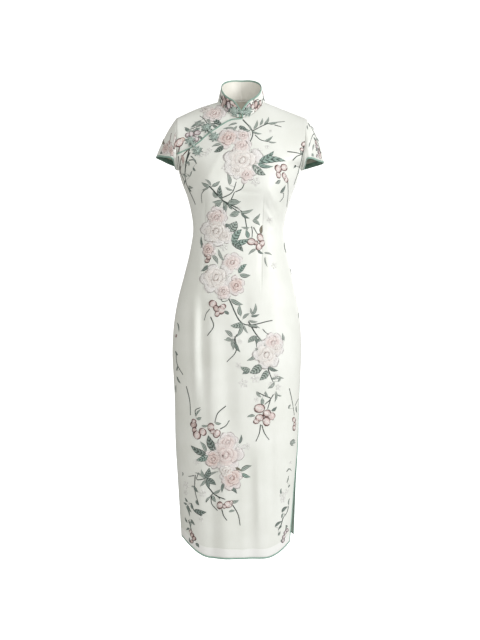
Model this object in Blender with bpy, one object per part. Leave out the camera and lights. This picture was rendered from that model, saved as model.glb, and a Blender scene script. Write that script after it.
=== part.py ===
"""A cheongsam: a fitted satin dress with a stand collar, cap sleeves, a slanted lap
closed by frogs, and a slit in each side seam. It hangs hollow, as it does when worn.

Frame: metres, +Z up, the front faces -Y, and the wearer's left is at +X.
The origin lies between the two shoulder seams, where they meet the neck.
"""

from collections import namedtuple
import math

import bpy
import numpy as np

# Cloth and seams.
WALL = 0.0012
SEAM_GAP = 0.0003
SEAM_HALF = 0.0003        # each panel's distance from the plane of the side seams
ROUNDNESS = 2.15          # exponent of the body's oval sections; 2 is an ellipse
LAP_DROP = 0.0030         # how far the small right front lies under the lap
LAP_DEPTH = 0.022         # how far it runs on below the lap's edge

# Levels.
HEM = -1.1785
HEM_CORNER_RISE = 0.039   # the hem curves up towards the slits
HEM_LEVEL_SHARE = 0.28    # share of each half hem that stays level
HEM_RISEN_SHARE = 0.85    # and where its corner has risen in full
SLIT_TOP = -0.713
SLIT_HEAD = 0.008         # height within which a slit's edges part from the seam
UNDERARM = -0.172

# Neck, shoulders and armholes.
NECK_HALF = 0.063
NECK_SIDE = 0.006
NECK_FRONT = -0.050
NECK_BACK = 0.022
SHOULDER_HALF = 0.170
SHOULDER_END = -0.036
RIGHT_SHOULDER_RISE = 0.004   # the right shoulder is a little fuller than the left
NECK_BACK_RISE = 0.010    # the cloth climbs from the shoulders to the back of the neck
ARMHOLE_DEPTH = 0.056     # from the shoulder's plane to the armhole's front and back
CHEST_SPREAD = 0.018      # how much wider than the underarm the shoulders' own oval is

# Collar.
COLLAR_TOP_HALF = 0.053
COLLAR_TOP_DEPTH = 0.049
COLLAR_TOP_FORWARD = -0.013
COLLAR_TOP_BACK = 0.0755
COLLAR_TOP_SIDE = 0.044
COLLAR_TOP_FRONT = -0.006
COLLAR_END_SHARE = 0.40   # height of the rounded front ends, as a share of the full height
COLLAR_ROUND = math.radians(30)
COLLAR_CLIMB = math.radians(79)   # turn past the side within which the top edge climbs to the back
COLLAR_END_ANGLE = math.radians(1.6)
COLLAR_HEIGHT = 0.045     # on average, from the neckline to the top edge

# Sleeves.
SLEEVE_SWELL = 0.003      # how far the cloth rounds out between armhole and hem
SLEEVE_SEAM_REACH = 0.1780    # from the middle to the hem, before and behind the armhole
SLEEVE_UNDER_REACH = 0.1720   # and at the underarm
SLEEVE_DEPTH = 0.0580     # from the shoulder's plane to the hem's front and back
SLEEVE_POINT = 1.5        # 1 rounds the hem's outer end to an ellipse, more draws it to a point
SLEEVE_TURN = math.radians(36)    # turn round the arm within which the hem closes up to the body

# Bindings: bias strips round the raw edges.
BINDING_WIDTH = 0.0046
BINDING_THICK = 0.0024
BINDING_ZONE = BINDING_WIDTH + SEAM_GAP

# Frogs.
FLOWER_RADIUS = 0.0130
FLOWER_PETALS = 5
FLOWER_STEPS = 30
FLOWER_LIFT = 0.0005
FLOWER_EYE = 0.0032       # height of the bead of cord in its middle
KNOT_RADIUS = 0.0042
COLLAR_KNOT_LIFT = 0.0045  # this knot sits down between the collar's two bound ends
FROG_REACH = 0.0172       # from the knot to the middle of each flower
COLLAR_FROG_SHARE = 0.28  # height of the collar's frog, as a share of the collar
COLLAR_FROG_SPREAD = 1.06  # its flowers lie a little farther apart, round the collar's ends
LAP_FROGS = (-0.079, -0.120)   # where the other two sit along the lap

Section = namedtuple("Section", "height half_width front back shift")
SECTIONS = (
    Section(-1.180, 0.1465, 0.0900, 0.0960, -0.0030),
    Section(-1.090, 0.1510, 0.0915, 0.0985, -0.0040),
    Section(-1.000, 0.1555, 0.0935, 0.1015, -0.0050),
    Section(-0.900, 0.1615, 0.0965, 0.1060, -0.0052),
    Section(-0.770, 0.1645, 0.1000, 0.1120, -0.0052),
    Section(-0.645, 0.1705, 0.1040, 0.1170, -0.0055),
    Section(-0.580, 0.1670, 0.1045, 0.1170, -0.0050),
    Section(-0.517, 0.1577, 0.1030, 0.1130, -0.0040),
    Section(-0.453, 0.1431, 0.0990, 0.1030, -0.0022),
    Section(-0.390, 0.1290, 0.0935, 0.0900, -0.0010),
    Section(-0.326, 0.1206, 0.0905, 0.0800, -0.0008),
    Section(-0.284, 0.1270, 0.0970, 0.0800, 0.0002),
    Section(-0.241, 0.1390, 0.1070, 0.0850, 0.0012),
    Section(-0.205, 0.1530, 0.1100, 0.0910, 0.0014),
    Section(-0.172, 0.1620, 0.1090, 0.0950, 0.0016),
    Section(-0.100, 0.1720, 0.0960, 0.0950, 0.0040),
    Section(0.020, 0.1720, 0.0700, 0.0700, 0.0062),
)

Lap = namedtuple("Lap", "x height")
LAP_EDGE = (
    Lap(-0.1632, -0.1410),
    Lap(-0.1480, -0.1350),
    Lap(-0.1274, -0.1265),
    Lap(-0.1106, -0.1150),
    Lap(-0.0844, -0.0905),
    Lap(-0.0617, -0.0745),
    Lap(-0.0270, -0.0540),
    Lap(0.0030, -0.0512),
)

Swell = namedtuple("Swell", "x height spread_x spread_z rise")
FRONT_SWELLS = (
    Swell(0.080, -0.243, 0.045, 0.050, 0.016),
    Swell(0.000, -0.480, 0.080, 0.080, 0.002),
)
BACK_SWELLS = (
    Swell(0.075, -0.130, 0.050, 0.060, 0.006),
    Swell(0.072, -0.600, 0.055, 0.070, 0.010),
)

# Folds hang as soft ridges (rise above 0) and troughs; darts are narrow troughs.
Fold = namedtuple("Fold", "x_top top x_foot foot width rise")
FRONT_FOLDS = (
    Fold(-0.084, -0.225, -0.090, -0.500, 0.0095, -0.0028),
    Fold(0.062, -0.235, 0.060, -0.500, 0.0095, -0.0026),
    Fold(-0.104, -0.500, -0.096, -0.840, 0.0130, 0.0030),
    Fold(-0.084, -0.480, -0.078, -0.760, 0.0120, -0.0034),
    Fold(-0.058, -0.560, -0.052, -0.960, 0.0150, 0.0028),
    Fold(-0.010, -0.600, -0.014, -0.900, 0.0200, -0.0022),
    Fold(0.072, -0.560, 0.078, -0.900, 0.0180, 0.0022),
    Fold(-0.060, -0.860, -0.066, -1.190, 0.0150, -0.0032),
    Fold(-0.034, -0.840, -0.030, -1.190, 0.0160, 0.0026),
    Fold(0.030, -0.880, 0.034, -1.190, 0.0170, -0.0034),
    Fold(0.066, -0.840, 0.070, -1.190, 0.0200, 0.0028),
)
BACK_FOLDS = (
    Fold(-0.070, -0.215, -0.074, -0.500, 0.0100, -0.0026),
    Fold(0.070, -0.215, 0.074, -0.500, 0.0100, -0.0026),
    Fold(-0.050, -0.640, -0.058, -1.190, 0.0190, 0.0032),
    Fold(-0.008, -0.680, -0.004, -1.190, 0.0200, -0.0030),
    Fold(0.046, -0.620, 0.040, -1.000, 0.0180, 0.0026),
    Fold(0.086, -0.660, 0.092, -1.190, 0.0170, -0.0028),
)

SWELLS = {"front": FRONT_SWELLS, "back": BACK_SWELLS}
FOLDS = {"front": FRONT_FOLDS, "back": BACK_FOLDS}

# How far each edge of a slit draws back from the side, in degrees round the section.
Slit = namedtuple("Slit", "front_turn back_turn")
RIGHT_SLIT = Slit(3.0, 1.5)
LEFT_SLIT = Slit(26.0, 1.0)

# A cap sleeve's hem: its outer end, its height by the armhole, and the underarm.
Sleeve = namedtuple(
    "Sleeve", "name side top_reach top_height seam_height back_drop under_height head_swell"
)
SLEEVES = (
    Sleeve("sleeve_left", 1, 0.2230, -0.1560, -0.1540, 0.0070, -0.1680, 0.0070),
    Sleeve("sleeve_right", -1, 0.2235, -0.1400, -0.1530, 0.0000, -0.1670, 0.0010),
)

# How finely the cloth is cut up.
HEM_COLUMNS = 30          # front, from side to side
CHEST_ROWS = 11
LAP_STEPS = 12            # columns along the lap
NECK_STEPS = 9            # columns along each half of the front neckline
BACK_NECK_STEPS = 12
COLLAR_ROWS = 4
SLEEVE_COLUMNS = 32
SLEEVE_ROWS = 6

# A frog's flower: height of the looped cord at each share of its outline.
Ring = namedtuple("Ring", "share height")
FLOWER_RINGS = (Ring(0.30, 0.0014), Ring(0.62, 0.0030), Ring(0.86, 0.0028), Ring(1.00, 0.0008))

Paint = namedtuple("Paint", "name color roughness metallic")
SATIN = Paint("ivory_satin", (0.80, 0.83, 0.79, 1.0), 0.38, 0.0)
BIAS = Paint("sage_satin", (0.24, 0.42, 0.35, 1.0), 0.42, 0.0)
CORD = Paint("mint_cord", (0.38, 0.60, 0.52, 1.0), 0.45, 0.0)


def clear_scene():
    for old in list(bpy.data.objects):
        bpy.data.objects.remove(old, do_unlink=True)


def paint(obj, look):
    """Give the object the look's Principled material, made once."""
    material = bpy.data.materials.get(look.name)
    if material is None:
        material = bpy.data.materials.new(look.name)
        material.use_nodes = True
        shader = material.node_tree.nodes["Principled BSDF"]
        shader.inputs["Base Color"].default_value = look.color
        shader.inputs["Roughness"].default_value = look.roughness
        shader.inputs["Metallic"].default_value = look.metallic
    obj.data.materials.append(material)
    obj.data.shade_smooth()


def new_object(name, points, faces, look):
    mesh = bpy.data.meshes.new(name)
    mesh.from_pydata([tuple(point) for point in points], [], faces)
    obj = bpy.data.objects.new(name, mesh)
    bpy.context.collection.objects.link(obj)
    paint(obj, look)
    return obj


def faced_out(points, faces):
    """The faces of a closed body, all turned so that they point out of it."""
    volume = 0.0
    for face in faces:
        for near, far in zip(face[1:-1], face[2:]):
            volume += np.dot(points[face[0]], np.cross(points[near], points[far]))
    return faces if volume > 0 else [face[::-1] for face in faces]


def column(table, name):
    return np.array([getattr(row, name) for row in table])


def along(table, key, name, place):
    """Smooth curve through the table's rows: column `name` at the given `key` value."""
    keys = column(table, key)
    values = column(table, name)
    slopes = np.gradient(values, keys)
    place = np.clip(place, keys[0], keys[-1])
    row = np.clip(np.searchsorted(keys, place) - 1, 0, len(keys) - 2)
    step = keys[row + 1] - keys[row]
    t = (place - keys[row]) / step
    start = (2 * t**3 - 3 * t**2 + 1) * values[row] + (t**3 - 2 * t**2 + t) * step * slopes[row]
    end = (3 * t**2 - 2 * t**3) * values[row + 1] + (t**3 - t**2) * step * slopes[row + 1]
    return start + end


def section(name, height):
    return along(SECTIONS, "height", name, height)


def ease(value, start, end):
    """0 before start, 1 past end, and smooth between."""
    t = np.clip((value - start) / (end - start), 0, 1)
    return t * t * (3 - 2 * t)


# ---- The surface that the cloth lies on -------------------------------------------

def swells(table, x, height):
    total = 0 * x
    for swell in table:
        for side in (-1, 1):
            across = (x - side * swell.x) / swell.spread_x
            up = (height - swell.height) / swell.spread_z
            total = total + swell.rise / (1 + (swell.x == 0)) * np.exp(-across**2 - up**2)
    return total


def folds(table, x, height):
    total = 0 * x
    for fold in table:
        t = np.clip((fold.top - height) / (fold.top - fold.foot), 0, 1)
        across = (x - (fold.x_top + (fold.x_foot - fold.x_top) * t)) / fold.width
        runs_off_hem = fold.foot < HEM
        fade = ease(t, 0, 0.25) * (1 if runs_off_hem else 1 - ease(t, 0.75, 1))
        total = total + fold.rise * fade * np.exp(-across**2)
    return total


def shoulder_height(x):
    """Height of the shoulder seam at a place across the dress."""
    share = (np.abs(x) - NECK_HALF) / (SHOULDER_HALF - NECK_HALF)
    fuller = RIGHT_SHOULDER_RISE * np.sin(math.pi * np.clip(share, 0, 1)) * (x < 0)
    return NECK_SIDE - (NECK_SIDE - SHOULDER_END) * share + fuller


def placed(x, depth, height, face):
    """The point at this depth before or behind the plane of the side seams."""
    y = -depth - SEAM_HALF if face == "front" else depth + SEAM_HALF
    return np.stack([x + section("shift", height), y, height], -1)


def oval_x(turn, half_width):
    """Place across an oval section. turn runs from -1 (right side) to 1 (left side)."""
    return half_width * np.sign(turn) * np.abs(np.sin(turn * math.pi / 2)) ** (2 / ROUNDNESS)


def body_point(turn, height, face):
    """Point below the underarm."""
    x = oval_x(turn, section("half_width", height))
    bulge = np.abs(np.cos(turn * math.pi / 2)) ** (2 / ROUNDNESS)
    relief = swells(SWELLS[face], x, height) + folds(FOLDS[face], x, height)
    return placed(x, bulge * (section(face, height) + relief), height, face)


def chest_point(x, height, face):
    """Point above the underarm, where the shoulders round over and the armholes open.

    fall is 0 at the shoulder and 1 at the underarm. The exponents shape the curves between:
    the lower one of fall is, the sooner the cloth stands out from the shoulder, as it
    does between the shoulder blades.
    """
    crest = shoulder_height(x)
    over_shoulder = 0.5
    if face == "back":
        crest = crest + NECK_BACK_RISE * (1 - ease(np.abs(x), 0, NECK_HALF))
        over_shoulder = 0.5 - 0.22 * (1 - ease(np.abs(x), 0, 0.11))
    fall = np.clip((crest - height) / (crest - UNDERARM), 0, 1)
    half_width = section("half_width", UNDERARM) + CHEST_SPREAD * (1 - ease(fall, 0.65, 1))
    share = np.clip(np.abs(x) / half_width, 0, 1)
    power = 1 / ROUNDNESS + 0.30 * (1 - ease(fall, 0.6, 1))
    bulge = (1 - share**ROUNDNESS) ** power
    armhole = ARMHOLE_DEPTH * share**4 * (4 * fall * (1 - fall)) ** (0.5 + 0.8 * (1 - share))
    chest = section(face, UNDERARM) * fall**over_shoulder + swells(SWELLS[face], x, height)
    return placed(x, bulge * chest + armhole, height, face)


def unit(vectors):
    return vectors / np.linalg.norm(vectors, axis=-1, keepdims=True)


def grid_normals(grid, outward):
    """Unit normals of a grid of points, on the side that `outward` points to."""
    normals = unit(np.cross(np.gradient(grid, axis=1), np.gradient(grid, axis=0)))
    middle = (grid.shape[0] // 2, grid.shape[1] // 2)
    return normals if np.dot(normals[middle], outward) > 0 else -normals


# ---- Making the solids -------------------------------------------------------------

def quads(rows, columns, closed):
    """Faces of a grid; a closed one joins its last column to its first."""
    faces = []
    for row in range(rows - 1):
        for col in range(columns if closed else columns - 1):
            beside = (col + 1) % columns
            low = row * columns
            high = low + columns
            faces.append((low + col, low + beside, high + beside, high + col))
    return faces


def cloth(name, grid, outward, look, closed=False):
    """A sheet through the grid's points, thickened inwards into one closed wall."""
    rows, columns = grid.shape[:2]
    faces = quads(rows, columns, closed)
    middle = (rows // 2, columns // 2)
    corner = grid[middle]
    normal = np.cross(grid[middle[0], middle[1] + 1] - corner, grid[middle[0] + 1, middle[1]] - corner)
    if np.dot(normal, outward) < 0:
        faces = [face[::-1] for face in faces]
    obj = new_object(name, grid.reshape(-1, 3), faces, look)
    wall = obj.modifiers.new("wall", "SOLIDIFY")
    wall.thickness = WALL
    wall.offset = -1
    return obj


def beyond_edge(path, inside, normals, closed):
    """Directions out of the cloth along an edge, mitred where the edge turns."""
    after = np.roll(path, -1, 0) - path
    if not closed:
        after[-1] = after[-2]
    out_after = unit(np.cross(after, normals))
    if (out_after * (path - inside)).sum() < 0:
        out_after = -out_after
    out_before = np.roll(out_after, 1, 0)
    if not closed:
        out_before[0] = out_after[0]
    meet = 1 + (out_after * out_before).sum(-1, keepdims=True)
    return (out_after + out_before) / meet


def binding(name, path, inside, normals, closed=False):
    """A rounded strip swept just beyond an edge, in line with its cloth."""
    outward = beyond_edge(path, inside, normals, closed)
    middle = path + outward * (SEAM_GAP + BINDING_WIDTH / 2) - normals * WALL / 2
    outline = ((-1, 0.6), (0, 1), (1, 0.5), (1, -0.5), (0, -1), (-1, -0.6))
    points = np.stack(
        [
            middle + outward * BINDING_WIDTH / 2 * wide + normals * BINDING_THICK / 2 * thick
            for wide, thick in outline
        ]
    )
    sides, count = points.shape[:2]
    faces = quads(sides, count, closed)
    low = (sides - 1) * count
    for col in range(count if closed else count - 1):
        beside = (col + 1) % count
        faces.append((low + col, low + beside, beside, col))
    if not closed:
        faces.append(tuple(ring * count for ring in range(sides)))
        faces.append(tuple(ring * count + count - 1 for ring in reversed(range(sides))))
    points = points.reshape(-1, 3)
    return new_object(name, points, faced_out(points, faces), BIAS)


# ---- Panels ------------------------------------------------------------------------

def neckline(angle):
    """Point of the neckline; angle 0 is the front, a quarter turn the wearer's left."""
    x = NECK_HALF * np.sin(angle)
    share = np.abs(np.sin(angle))
    front = NECK_FRONT + (NECK_SIDE - NECK_FRONT) * share**2.1
    back = NECK_BACK + (NECK_SIDE - NECK_BACK) * share**2
    return np.stack([x, np.where(np.cos(angle) > 0, front, back)], -1)


def armhole_reach(height):
    """Distance of the armhole seam from the middle; it is straight as seen from the front."""
    share = (height - UNDERARM) / (SHOULDER_END - UNDERARM)
    underarm_half = section("half_width", UNDERARM)
    return underarm_half + (SHOULDER_HALF - underarm_half) * share


def shoulder(share, side):
    """Point of the shoulder seam, from the neck (0) to the armhole (1)."""
    x = side * (NECK_HALF + (SHOULDER_HALF - NECK_HALF) * share)
    return np.stack([x, shoulder_height(x)], -1)


def lap_point(x, inset):
    """Point of the lap's edge, moved down into the main front by `inset`."""
    step = 0.0005
    slope = (lap_height(x + step) - lap_height(x - step)) / (2 * step)
    length = np.sqrt(1 + slope**2)
    return np.stack([x + inset * slope / length, lap_height(x) - inset / length], -1)


def lap_height(x):
    return along(LAP_EDGE, "x", "height", x)


def slit_inset(height, turn_back, radius):
    """Turn lost at a slit: the drawn-back edge and the room for its binding."""
    down = np.clip((SLIT_TOP - height) / (SLIT_TOP - HEM), 0, 1)
    zone = ease(SLIT_TOP - height, -0.002, SLIT_HEAD) * BINDING_ZONE / radius
    return (math.radians(turn_back) * down + zone) / (math.pi / 2)


def side_to_side(face, height, columns):
    """Turns of a row's columns, from the right edge of the cloth to the left."""
    radius = section(face, height)
    key = face + "_turn"
    start = -1 + slit_inset(height, getattr(RIGHT_SLIT, key), radius)
    end = 1 - slit_inset(height, getattr(LEFT_SLIT, key), radius)
    return np.linspace(start, end, columns)


def skirt_and_waist(face, columns, slit_rows, body_rows):
    """Grid from the hem to the underarm."""
    out = np.abs(side_to_side(face, HEM, columns))
    hem = HEM + BINDING_ZONE + HEM_CORNER_RISE * ease(out, HEM_LEVEL_SHARE, HEM_RISEN_SHARE)
    slit_head = SLIT_TOP - SLIT_HEAD
    heights = [hem + (slit_head - hem) * share for share in np.linspace(0, 1, slit_rows)]
    for height in np.linspace(SLIT_TOP + SLIT_HEAD / 2, UNDERARM, body_rows):
        heights.append(np.full(columns, height))
    return np.array(
        [body_point(side_to_side(face, row[0], columns), row, face) for row in heights]
    )


def hem_binding(name, grid, slit_rows, outward):
    """One strip down a slit, along the hem and up the other slit."""
    down, up = slice(slit_rows - 1, 0, -1), slice(1, slit_rows)
    normals = grid_normals(grid, outward)
    path = np.concatenate([grid[down, 0], grid[0], grid[up, -1]])
    inside = np.concatenate([grid[down, 1], grid[1], grid[up, -2]])
    facing = np.concatenate([normals[down, 0], normals[0], normals[up, -1]])
    binding(name, path, inside, facing)


def chest_normal(x, height, face):
    step = 0.001
    here = chest_point(x, height, face)
    beside = chest_point(x + step, height, face) - here
    above = chest_point(x, height + step, face) - here
    normal = unit(np.cross(beside, above))
    return normal if face == "front" else -normal


def chest_grid(bottom, top, rounding, face, sink=None):
    """Grid over the chest or back, from its lower to its upper edge in the (x, z) plane.

    rounding says, for each column, how much its rows draw together at the top,
    where the cloth turns over the shoulder.
    """
    step = np.linspace(0, 1, CHEST_ROWS)[:, None]
    rise = (1 - rounding) * step + rounding * np.sin(step * math.pi / 2)
    flat = bottom + (top - bottom) * rise[..., None]
    x, height = flat[..., 0], flat[..., 1]
    points = chest_point(x, height, face)
    if sink is not None:
        points = points - chest_normal(x, height, face) * sink(x, height)[..., None]
    return points


def underarm_row(columns):
    """The body's top row in the (x, z) plane, matching the rows below it."""
    x = oval_x(np.linspace(-1, 1, columns), section("half_width", UNDERARM))
    return np.stack([x, np.full(columns, UNDERARM)], -1)


def make_front():
    slit_rows, body_rows = 10, 17
    columns = HEM_COLUMNS + 1
    seam_steps = HEM_COLUMNS - LAP_STEPS - NECK_STEPS
    lower = skirt_and_waist("front", columns, slit_rows, body_rows)
    lap = lap_point(np.linspace(LAP_EDGE[0].x, LAP_EDGE[-1].x, LAP_STEPS + 1), BINDING_ZONE)
    lap[0, 0] = -armhole_reach(lap[0, 1])
    neck = neckline(np.linspace(0, math.pi / 2, NECK_STEPS + 1))[1:]
    seam = shoulder(np.linspace(0, 1, seam_steps + 1), 1)[1:]
    rounding = ease(np.arange(columns), LAP_STEPS, LAP_STEPS + NECK_STEPS)
    upper = chest_grid(underarm_row(columns), np.concatenate([lap, neck, seam]), rounding, "front")
    grid = np.concatenate([lower, upper[1:]])
    cloth("front", grid, (0, -1, 0), SATIN)
    hem_binding("binding_front", grid, slit_rows, (0, -1, 0))
    normals = grid_normals(grid, (0, -1, 0))
    lap_end = LAP_STEPS + 1
    path = grid[-1, :lap_end].copy()
    path[0] += 0.3 * (path[1] - path[0])   # so that the strip starts clear of the sleeve
    binding("binding_lap", path, grid[-2, :lap_end], normals[-1, :lap_end])


def make_underlap():
    """The small right front; it sinks under the lap and runs on a little below its edge."""
    seam_steps = 8
    columns = seam_steps + NECK_STEPS + 1
    bottom = lap_point(np.linspace(LAP_EDGE[0].x, -0.001, columns), LAP_DEPTH)
    bottom[0, 0] = -armhole_reach(bottom[0, 1])
    seam = shoulder(np.linspace(1, 0, seam_steps + 1), -1)
    neck = neckline(np.linspace(-math.pi / 2, 0, NECK_STEPS + 1))[1:]
    rounding = 1 - ease(np.arange(columns), seam_steps, columns - 1)

    def sink(x, height):
        return LAP_DROP * (1 - ease(height - lap_height(x), 0.002, 0.016))

    grid = chest_grid(bottom, np.concatenate([seam, neck]), rounding, "front", sink)
    cloth("front_underlap", grid, (0, -1, 0), SATIN)


def make_back():
    seam_steps, slit_rows, body_rows = 7, 8, 13
    columns = 2 * seam_steps + BACK_NECK_STEPS + 1
    lower = skirt_and_waist("back", columns, slit_rows, body_rows)
    neck = neckline(np.linspace(-math.pi / 2, -3 * math.pi / 2, BACK_NECK_STEPS + 1))
    right_seam = shoulder(np.linspace(1, 0, seam_steps + 1), -1)[:-1]
    left_seam = shoulder(np.linspace(0, 1, seam_steps + 1), 1)[1:]
    top = np.concatenate([right_seam, neck, left_seam])
    upper = chest_grid(underarm_row(columns), top, np.ones(columns), "back")
    grid = np.concatenate([lower, upper[1:]])
    cloth("back", grid, (0, 1, 0), SATIN)
    hem_binding("binding_back", grid, slit_rows, (0, 1, 0))


# ---- Collar and sleeves ------------------------------------------------------------

def collar_point(angle, share):
    """Point of the stand collar, from the neckline (0) to its full height (1)."""
    flat = neckline(angle)
    cosine = np.cos(angle)
    face_front = cosine > 0
    front = chest_point(flat[..., 0], flat[..., 1], "front")
    back = chest_point(flat[..., 0], flat[..., 1], "back")
    base = np.where(face_front[..., None], front, back)
    past_side = np.minimum(angle, 2 * math.pi - angle) - math.pi / 2
    to_front = (COLLAR_TOP_SIDE - COLLAR_TOP_FRONT) * np.abs(cosine) ** 1.1
    climb = np.sin(np.clip(past_side / COLLAR_CLIMB, 0, 1) * math.pi / 2)
    to_back = (COLLAR_TOP_BACK - COLLAR_TOP_SIDE) * climb
    top_height = np.where(face_front, COLLAR_TOP_SIDE - to_front, COLLAR_TOP_SIDE + to_back)
    top_x = COLLAR_TOP_HALF * np.sin(angle) + section("shift", 0.02 + 0 * angle)
    top_y = COLLAR_TOP_FORWARD - COLLAR_TOP_DEPTH * cosine
    top = np.stack([top_x, top_y, top_height], -1)
    rise = unit(top - base)
    start = base + rise * 2 * SEAM_GAP
    return start + (top - start) * share[..., None]


def collar_share(angle, trim):
    """Share of the full height that the cloth reaches, less a trim in metres."""
    from_front = np.minimum(angle, 2 * math.pi - angle)
    rounding = np.sin(np.clip(from_front / COLLAR_ROUND, 0, 1) * math.pi / 2)
    share = COLLAR_END_SHARE + (1 - COLLAR_END_SHARE) * rounding
    base = collar_point(angle, np.zeros_like(angle))
    top = collar_point(angle, np.ones_like(angle))
    return share - trim / np.linalg.norm(top - base, axis=-1)


def make_collar():
    end = COLLAR_END_ANGLE + BINDING_ZONE / NECK_HALF
    quarter = np.linspace(0, math.pi / 2, NECK_STEPS + 1)[1:]
    back = np.linspace(math.pi / 2, 3 * math.pi / 2, BACK_NECK_STEPS + 1)[1:-1]
    front = np.concatenate([[end], quarter])
    angles = np.concatenate([front, back, 2 * math.pi - front[::-1]])
    reach = collar_share(angles, BINDING_ZONE)
    grid = np.array([collar_point(angles, reach * share) for share in np.linspace(0, 1, COLLAR_ROWS)])
    rearward = (0, 1, 0)      # the grid's middle lies at the back of the neck
    cloth("collar", grid, rearward, SATIN)
    normals = grid_normals(grid, rearward)
    path = np.concatenate([grid[:-1, 0], grid[-1], grid[-2::-1, -1]])
    inside = np.concatenate([grid[:-1, 1], grid[-2], grid[-2::-1, -2]])
    facing = np.concatenate([normals[:-1, 0], normals[-1], normals[-2::-1, -1]])
    binding("binding_collar", path, inside, facing)


def sleeve_hem(sleeve, angle):
    """The hem round the arm: pointed over the arm, and close to the armhole below."""
    cosine, sine = np.cos(angle), np.sin(angle)
    upper = np.clip(cosine, 0, 1) ** SLEEVE_POINT
    lower = np.clip(-cosine, 0, 1)
    closing = np.sin(np.clip(np.arcsin(lower) / SLEEVE_TURN, 0, 1) * math.pi / 2)
    deep = np.abs(sine) ** np.where(cosine > 0, SLEEVE_POINT, 1.0)
    seam_height = sleeve.seam_height + sleeve.back_drop * np.clip(sine, -1, 0)
    x = SLEEVE_SEAM_REACH + (sleeve.top_reach - SLEEVE_SEAM_REACH) * upper
    x = x + (SLEEVE_UNDER_REACH - SLEEVE_SEAM_REACH) * closing
    z = seam_height + (sleeve.top_height - seam_height) * upper
    z = z + (sleeve.under_height - seam_height) * lower**2
    x = sleeve.side * x + section("shift", z)
    return np.stack([x, -SLEEVE_DEPTH * np.sign(sine) * deep, z], -1)


def sleeve_point(sleeve, angle, share):
    """Point of a cap sleeve; angle 0 is the shoulder, a quarter turn the front."""
    cosine, sine = np.cos(angle), np.sin(angle)
    middle = (SHOULDER_END + UNDERARM) / 2
    height = middle + (SHOULDER_END - middle) * cosine
    reach = armhole_reach(height)
    front = chest_point(sleeve.side * reach, height, "front")
    back = chest_point(sleeve.side * reach, height, "back")
    start = np.where((sine > 0)[..., None], front, back)
    start[..., 1] = start[..., 1] * (np.abs(sine) > 1e-6)
    start[..., 0] = sleeve.side * (reach + WALL + SEAM_GAP) + section("shift", height)
    hem = sleeve_hem(sleeve, angle)
    length = np.linalg.norm(hem - start, axis=-1)
    share = share * (1 - BINDING_ZONE / length)
    head = (1 + cosine) / 2
    radial = np.stack([0.7 * sleeve.side * head, -sine, cosine], -1)
    swell = (SLEEVE_SWELL + sleeve.head_swell * head) * 4 * share * (1 - share)
    return start + (hem - start) * share[..., None] + radial * swell[..., None]


def make_sleeve(sleeve):
    even = np.arange(SLEEVE_COLUMNS) * 2 * math.pi / SLEEVE_COLUMNS
    angles = even - 0.1 * np.sin(4 * even)    # closer together where the hem turns
    shares = np.linspace(0, 1, SLEEVE_ROWS)
    grid = np.array([sleeve_point(sleeve, angles, share + 0 * angles) for share in shares])
    downward = (0, 0, -1)     # the grid's middle lies at the underarm
    cloth(sleeve.name, grid, downward, SATIN, closed=True)
    wrapped = np.concatenate([grid[:, -1:], grid, grid[:, :1]], 1)
    normals = grid_normals(wrapped, downward)[:, 1:-1]
    binding("binding_" + sleeve.name, grid[-1], grid[-2], normals[-1], closed=True)


# ---- Frogs -------------------------------------------------------------------------

def make_flower(name, place):
    """A flower of looped cord, laid on the cloth that place(across, up, out) gives."""
    turn = np.arange(FLOWER_STEPS) * 2 * math.pi / FLOWER_STEPS
    lobes = np.abs(np.cos(FLOWER_PETALS * turn / 2)) ** 0.6
    outline = FLOWER_RADIUS * (0.62 + 0.38 * lobes)
    levels = [(ring.share, FLOWER_LIFT + ring.height) for ring in FLOWER_RINGS]
    levels.append((1.0, FLOWER_LIFT))
    points = []
    for share, height in levels:
        points.extend(place(share * outline * np.sin(turn), share * outline * np.cos(turn), height))
    points.extend(place(np.zeros(1), np.zeros(1), FLOWER_LIFT + FLOWER_EYE))
    points.extend(place(np.zeros(1), np.zeros(1), FLOWER_LIFT))
    count = FLOWER_STEPS
    faces = quads(len(levels), count, True)
    last = (len(levels) - 1) * count
    for step in range(count):
        beside = (step + 1) % count
        faces.append((beside, step, len(levels) * count))
        faces.append((last + step, last + beside, len(levels) * count + 1))
    new_object(name, points, faced_out(points, faces), CORD)


def on_front(x, height):
    """Placing function for the cloth of the front around a point."""

    def place(across, up, out):
        step = 0.002
        here = chest_point(x + across, height + up, "front")
        beside = chest_point(x + across + step, height + up, "front") - here
        above = chest_point(x + across, height + up + step, "front") - here
        return here + unit(np.cross(beside, above)) * out

    return place


def on_collar(angle, share):
    """Placing function for the collar's cloth around a point."""

    def place(across, up, out):
        here_angle = angle + across / NECK_HALF
        here_share = share + up / COLLAR_HEIGHT
        step = 0.01
        here = collar_point(here_angle, here_share)
        beside = collar_point(here_angle + step, here_share) - here
        above = collar_point(here_angle, here_share + step) - here
        return here + unit(np.cross(beside, above)) * out

    return place


def make_knot(name, place, lift):
    """The ball of the fastening, just proud of the bindings that it holds together."""
    still = np.zeros(1)
    centre = place(still, still, lift)[0]
    bpy.ops.mesh.primitive_uv_sphere_add(
        segments=12, ring_count=8, radius=KNOT_RADIUS, location=tuple(centre)
    )
    knot = bpy.context.object
    knot.name = name
    paint(knot, CORD)


def make_lap_frog(number, x):
    """A frog whose knot sits on the lap's binding, with a flower on each side."""
    near = lap_point(np.array([x]), 0.0)[0]
    down = unit(lap_point(np.array([x]), 1.0)[0] - near)
    middle = near + down * BINDING_WIDTH / 2
    high = middle - down * FROG_REACH
    low = middle + down * FROG_REACH
    make_flower("frog_%d_flower_a" % number, on_front(*high))
    make_flower("frog_%d_flower_b" % number, on_front(*low))
    lift = BINDING_THICK / 2 + SEAM_GAP + KNOT_RADIUS
    make_knot("frog_%d_knot" % number, on_front(*middle), lift)


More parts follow.
